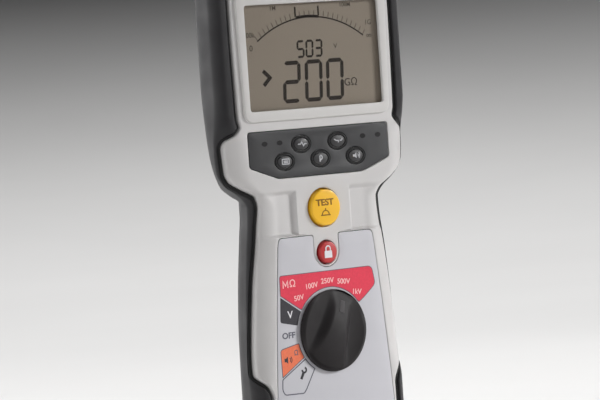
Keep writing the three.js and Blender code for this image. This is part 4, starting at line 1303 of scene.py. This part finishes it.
def rod(axis, radius, start, end, x=0.0, depth=0.0, z=0.0, sides=40):
    """A plain round cutter along an axis, from one end to the other."""
    rings = []
    for reach in (start, end):
        for k in range(sides):
            turn = 2 * math.pi * k / sides
            a, b = radius * math.cos(turn), radius * math.sin(turn)
            rings.append({"x": (reach, depth + a, z + b), "depth": (x + a, reach, z + b)}[axis])
    return cutter_from(Builder().add(rings, tube_faces(2, sides)))


def drilled(radius, start, spot, sides=24):
    """A cutter for a hole from a depth out through the back."""
    return rod("depth", radius, start, BEYOND, x=spot[0], z=spot[1], sides=sides)


def cutter_loft(*ends, **options):
    return cutter_from(Builder().add(*rear_loft(*ends, **options)))


def soften(piece, width, segments=3, angle=38):
    """Rounds the sharp edges that are left after cutting."""
    bevel = piece.modifiers.new("soften", "BEVEL")
    bevel.width = width * MM
    bevel.segments = segments
    bevel.limit_method = "ANGLE"
    bevel.angle_limit = math.radians(angle)
    bevel.use_clamp_overlap = True
    bake(piece, sharp=50)


def rear_shell():
    shell = Builder().add(*rear_loft(0, LENGTH)).piece("rear_shell", "shell", sharp=50)
    tidy_normals(shell)
    cover_room = cutter_box((-BEYOND, BEYOND), (COVER_DEPTH - COVER_GAP, BEYOND),
                            (COVER_LOW - 0.3, COVER_HIGH + 0.3))
    cutters = [cover_room,
               cutter_loft(116.9, LENGTH - 2.6, inset=2.6, start=SPLIT - 4, cap=40.2), terminal_cutter(),
               cutter_box((-22.3, 22.3), (42.6, BEYOND), (121.7, 200.5)),
               cutter_box((-9, 9), (42.6, BEYOND), (117, 125)),
               rod("x", HINGE_RADIUS, -25.6, 25.6, depth=HINGE_DEPTH, z=HINGE_Z, sides=24)]
    for spot in TOP_SCREWS:
        cutters += [drilled(3.3, 24.6, spot, sides=40), drilled(1.8, 10, spot)]
    cutters += [drilled(1.8, 10, spot) for spot in LOW_SCREWS]
    cutters.append(drilled(1.6, 10, COVER_SCREW))
    for cutter in cutters:
        tidy_normals(cutter)
    subtract(shell, cutters)
    soften(shell, 0.45)
    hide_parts("rear_case")


def cover_shell():
    solid = rear_loft(COVER_LOW, COVER_HIGH, start=COVER_DEPTH)
    cover = Builder().add(*solid).piece("battery_door", "shell", "cover", sharp=50)
    tidy_normals(cover)
    wall = 2.4
    hollow = cutter_loft(COVER_LOW + wall, COVER_HIGH - wall, inset=wall, start=SPLIT)
    post = drilled(3.4, 40.5, COVER_SCREW, sides=40)
    cutters = [hollow, drilled(1.7, 10, COVER_SCREW), drilled(2.9, 44.4, COVER_SCREW, sides=40)]
    cutters += [cutter_box((-13, 13), (46.4, BEYOND), (rib, rib + 1.5)) for rib in np.arange(92, 106, 3.0)]
    for cutter in [post, *cutters]:
        tidy_normals(cutter)
    subtract(hollow, [post])
    subtract(cover, cutters)
    soften(cover, 0.4)
    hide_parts("battery_cover")


def stand_leg():
    outline = box_outline(-22, 22, 122.0, HINGE_Z + 1.5, 1.6, 6)
    window = box_outline(-13, 13, 136, 176, 4, 8)
    solid = flat_mark(outline, 43.0, 46.8, [window])
    leg = Builder().add(*solid).piece("stand_leg", "shell", "stand", sharp=50)
    tidy_normals(leg)
    cutters = [rod("x", HINGE_RADIUS, -40, 40, depth=HINGE_DEPTH, z=HINGE_Z, sides=24)]
    cutters += [cutter_box((-10, 10), (46.2, 50), (rib, rib + 1.2)) for rib in (124.5, 127, 129.5)]
    for cutter in cutters:
        tidy_normals(cutter)
    subtract(leg, cutters)
    soften(leg, 0.5)
    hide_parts("tilt_stand")


rear_shell()
cover_shell()
stand_leg()


# ---------------------------------------------------------------- CAD pieces that stay
NODE_MATERIALS = {
    "rear_case": "shell", "battery_cover": "shell", "tilt_stand": "shell", "terminal_panel": "shell",
    "display_window": "window", "display_panel": "lcd", "display_backlight": "diffuser",
    "main_board": "board", "transformer": "ferrite", "fuse": "ceramic", "switch_rotor": "white",
    "socket_red": "socket_red",
    "contact_black": "brass", "contact_red": "brass", "keypad_mat": "seal", "battery_cover_seal": "seal",
    "knob_seal": "seal",
}
STEEL_WORDS = ("screw", "spring", "rod", "shaft", "clip", "battery_contact")


def dress_nodes():
    for name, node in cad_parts.items():
        if name.startswith("cell_"):
            material = "cell"
        elif name in NODE_MATERIALS:
            material = NODE_MATERIALS[name]
        elif any(word in name for word in STEEL_WORDS):
            material = "steel"
        else:
            material = "black"
        node.data.materials.clear()
        node.data.materials.append(MATERIALS[material])


dress_nodes()


# ---------------------------------------------------------------- studio
# lengths in this section are in metres
SWEEP_START = 0.8
SWEEP_RADIUS = 7.4


def floor_sweep():
    """A pale round floor that curves gently up far from the object, so that no view shows a horizon."""
    paint = Paint("studio_floor", (0.66, 0.655, 0.65), 0.8, specular=0.2)
    paint.mottle(3, 0.02)
    MATERIALS["floor"] = paint.material
    sides = 128
    line = [(0.4, 0.0), (SWEEP_START, 0.0)]
    for turn in np.radians(np.linspace(0.5, 62, 70)):
        line.append((SWEEP_START + SWEEP_RADIUS * math.sin(turn), SWEEP_RADIUS * (1 - math.cos(turn))))
    vertices = []
    for reach, height in line:
        for turn in np.arange(sides) * 2 * math.pi / sides:
            vertices.append((reach * math.cos(turn), reach * math.sin(turn), height))
    faces = [face[::-1] for face in grid_faces(len(line), sides, wrap_columns=True)]
    mesh = bpy.data.meshes.new("floor")
    mesh.from_pydata(vertices, [], [tuple(range(sides)), *faces])
    mesh.shade_smooth()
    mesh.materials.append(MATERIALS["floor"])
    floor = bpy.data.objects.new("floor", mesh)
    bpy.context.scene.collection.objects.link(floor)


def lights():
    world = bpy.data.worlds.new("studio")
    bpy.context.scene.world = world
    world.use_nodes = True
    sky = world.node_tree.nodes["Background"]
    sky.inputs["Color"].default_value = (0.86, 0.87, 0.9, 1)
    sky.inputs["Strength"].default_value = 0.025
    for name, spot, aim, size, power, spread in (
            ("key", (1.3, -0.95, 0.6), (0, 0, -0.17), 0.5, 1.55, 40),
            ("fill", (-1.6, -0.25, 0.35), (0, 0, 0.1), 0.9, 1.35, 80),
            ("rim", (-0.9, 1.25, 0.45), (0, 0, 0.1), 0.9, 2.6, 60),
            ("front", (-0.7, -1.5, 0.7), (0, 0, 0.02), 0.8, 0.5, 60),
            ("floor", (0.91, 1.19, 2.22), (0.18, 0.24, 0), 1.0, 35, 130)):
        light = bpy.data.lights.new(name, "AREA")
        light.shape = "DISK"
        light.size = size
        light.energy = power
        light.spread = math.radians(spread)
        lamp = bpy.data.objects.new(name, light)
        facing = Vector(aim) - Vector(spot)
        lamp.rotation_euler = facing.to_track_quat("-Z", "Y").to_euler()
        lamp.location = spot
        bpy.context.scene.collection.objects.link(lamp)


floor_sweep()
lights()
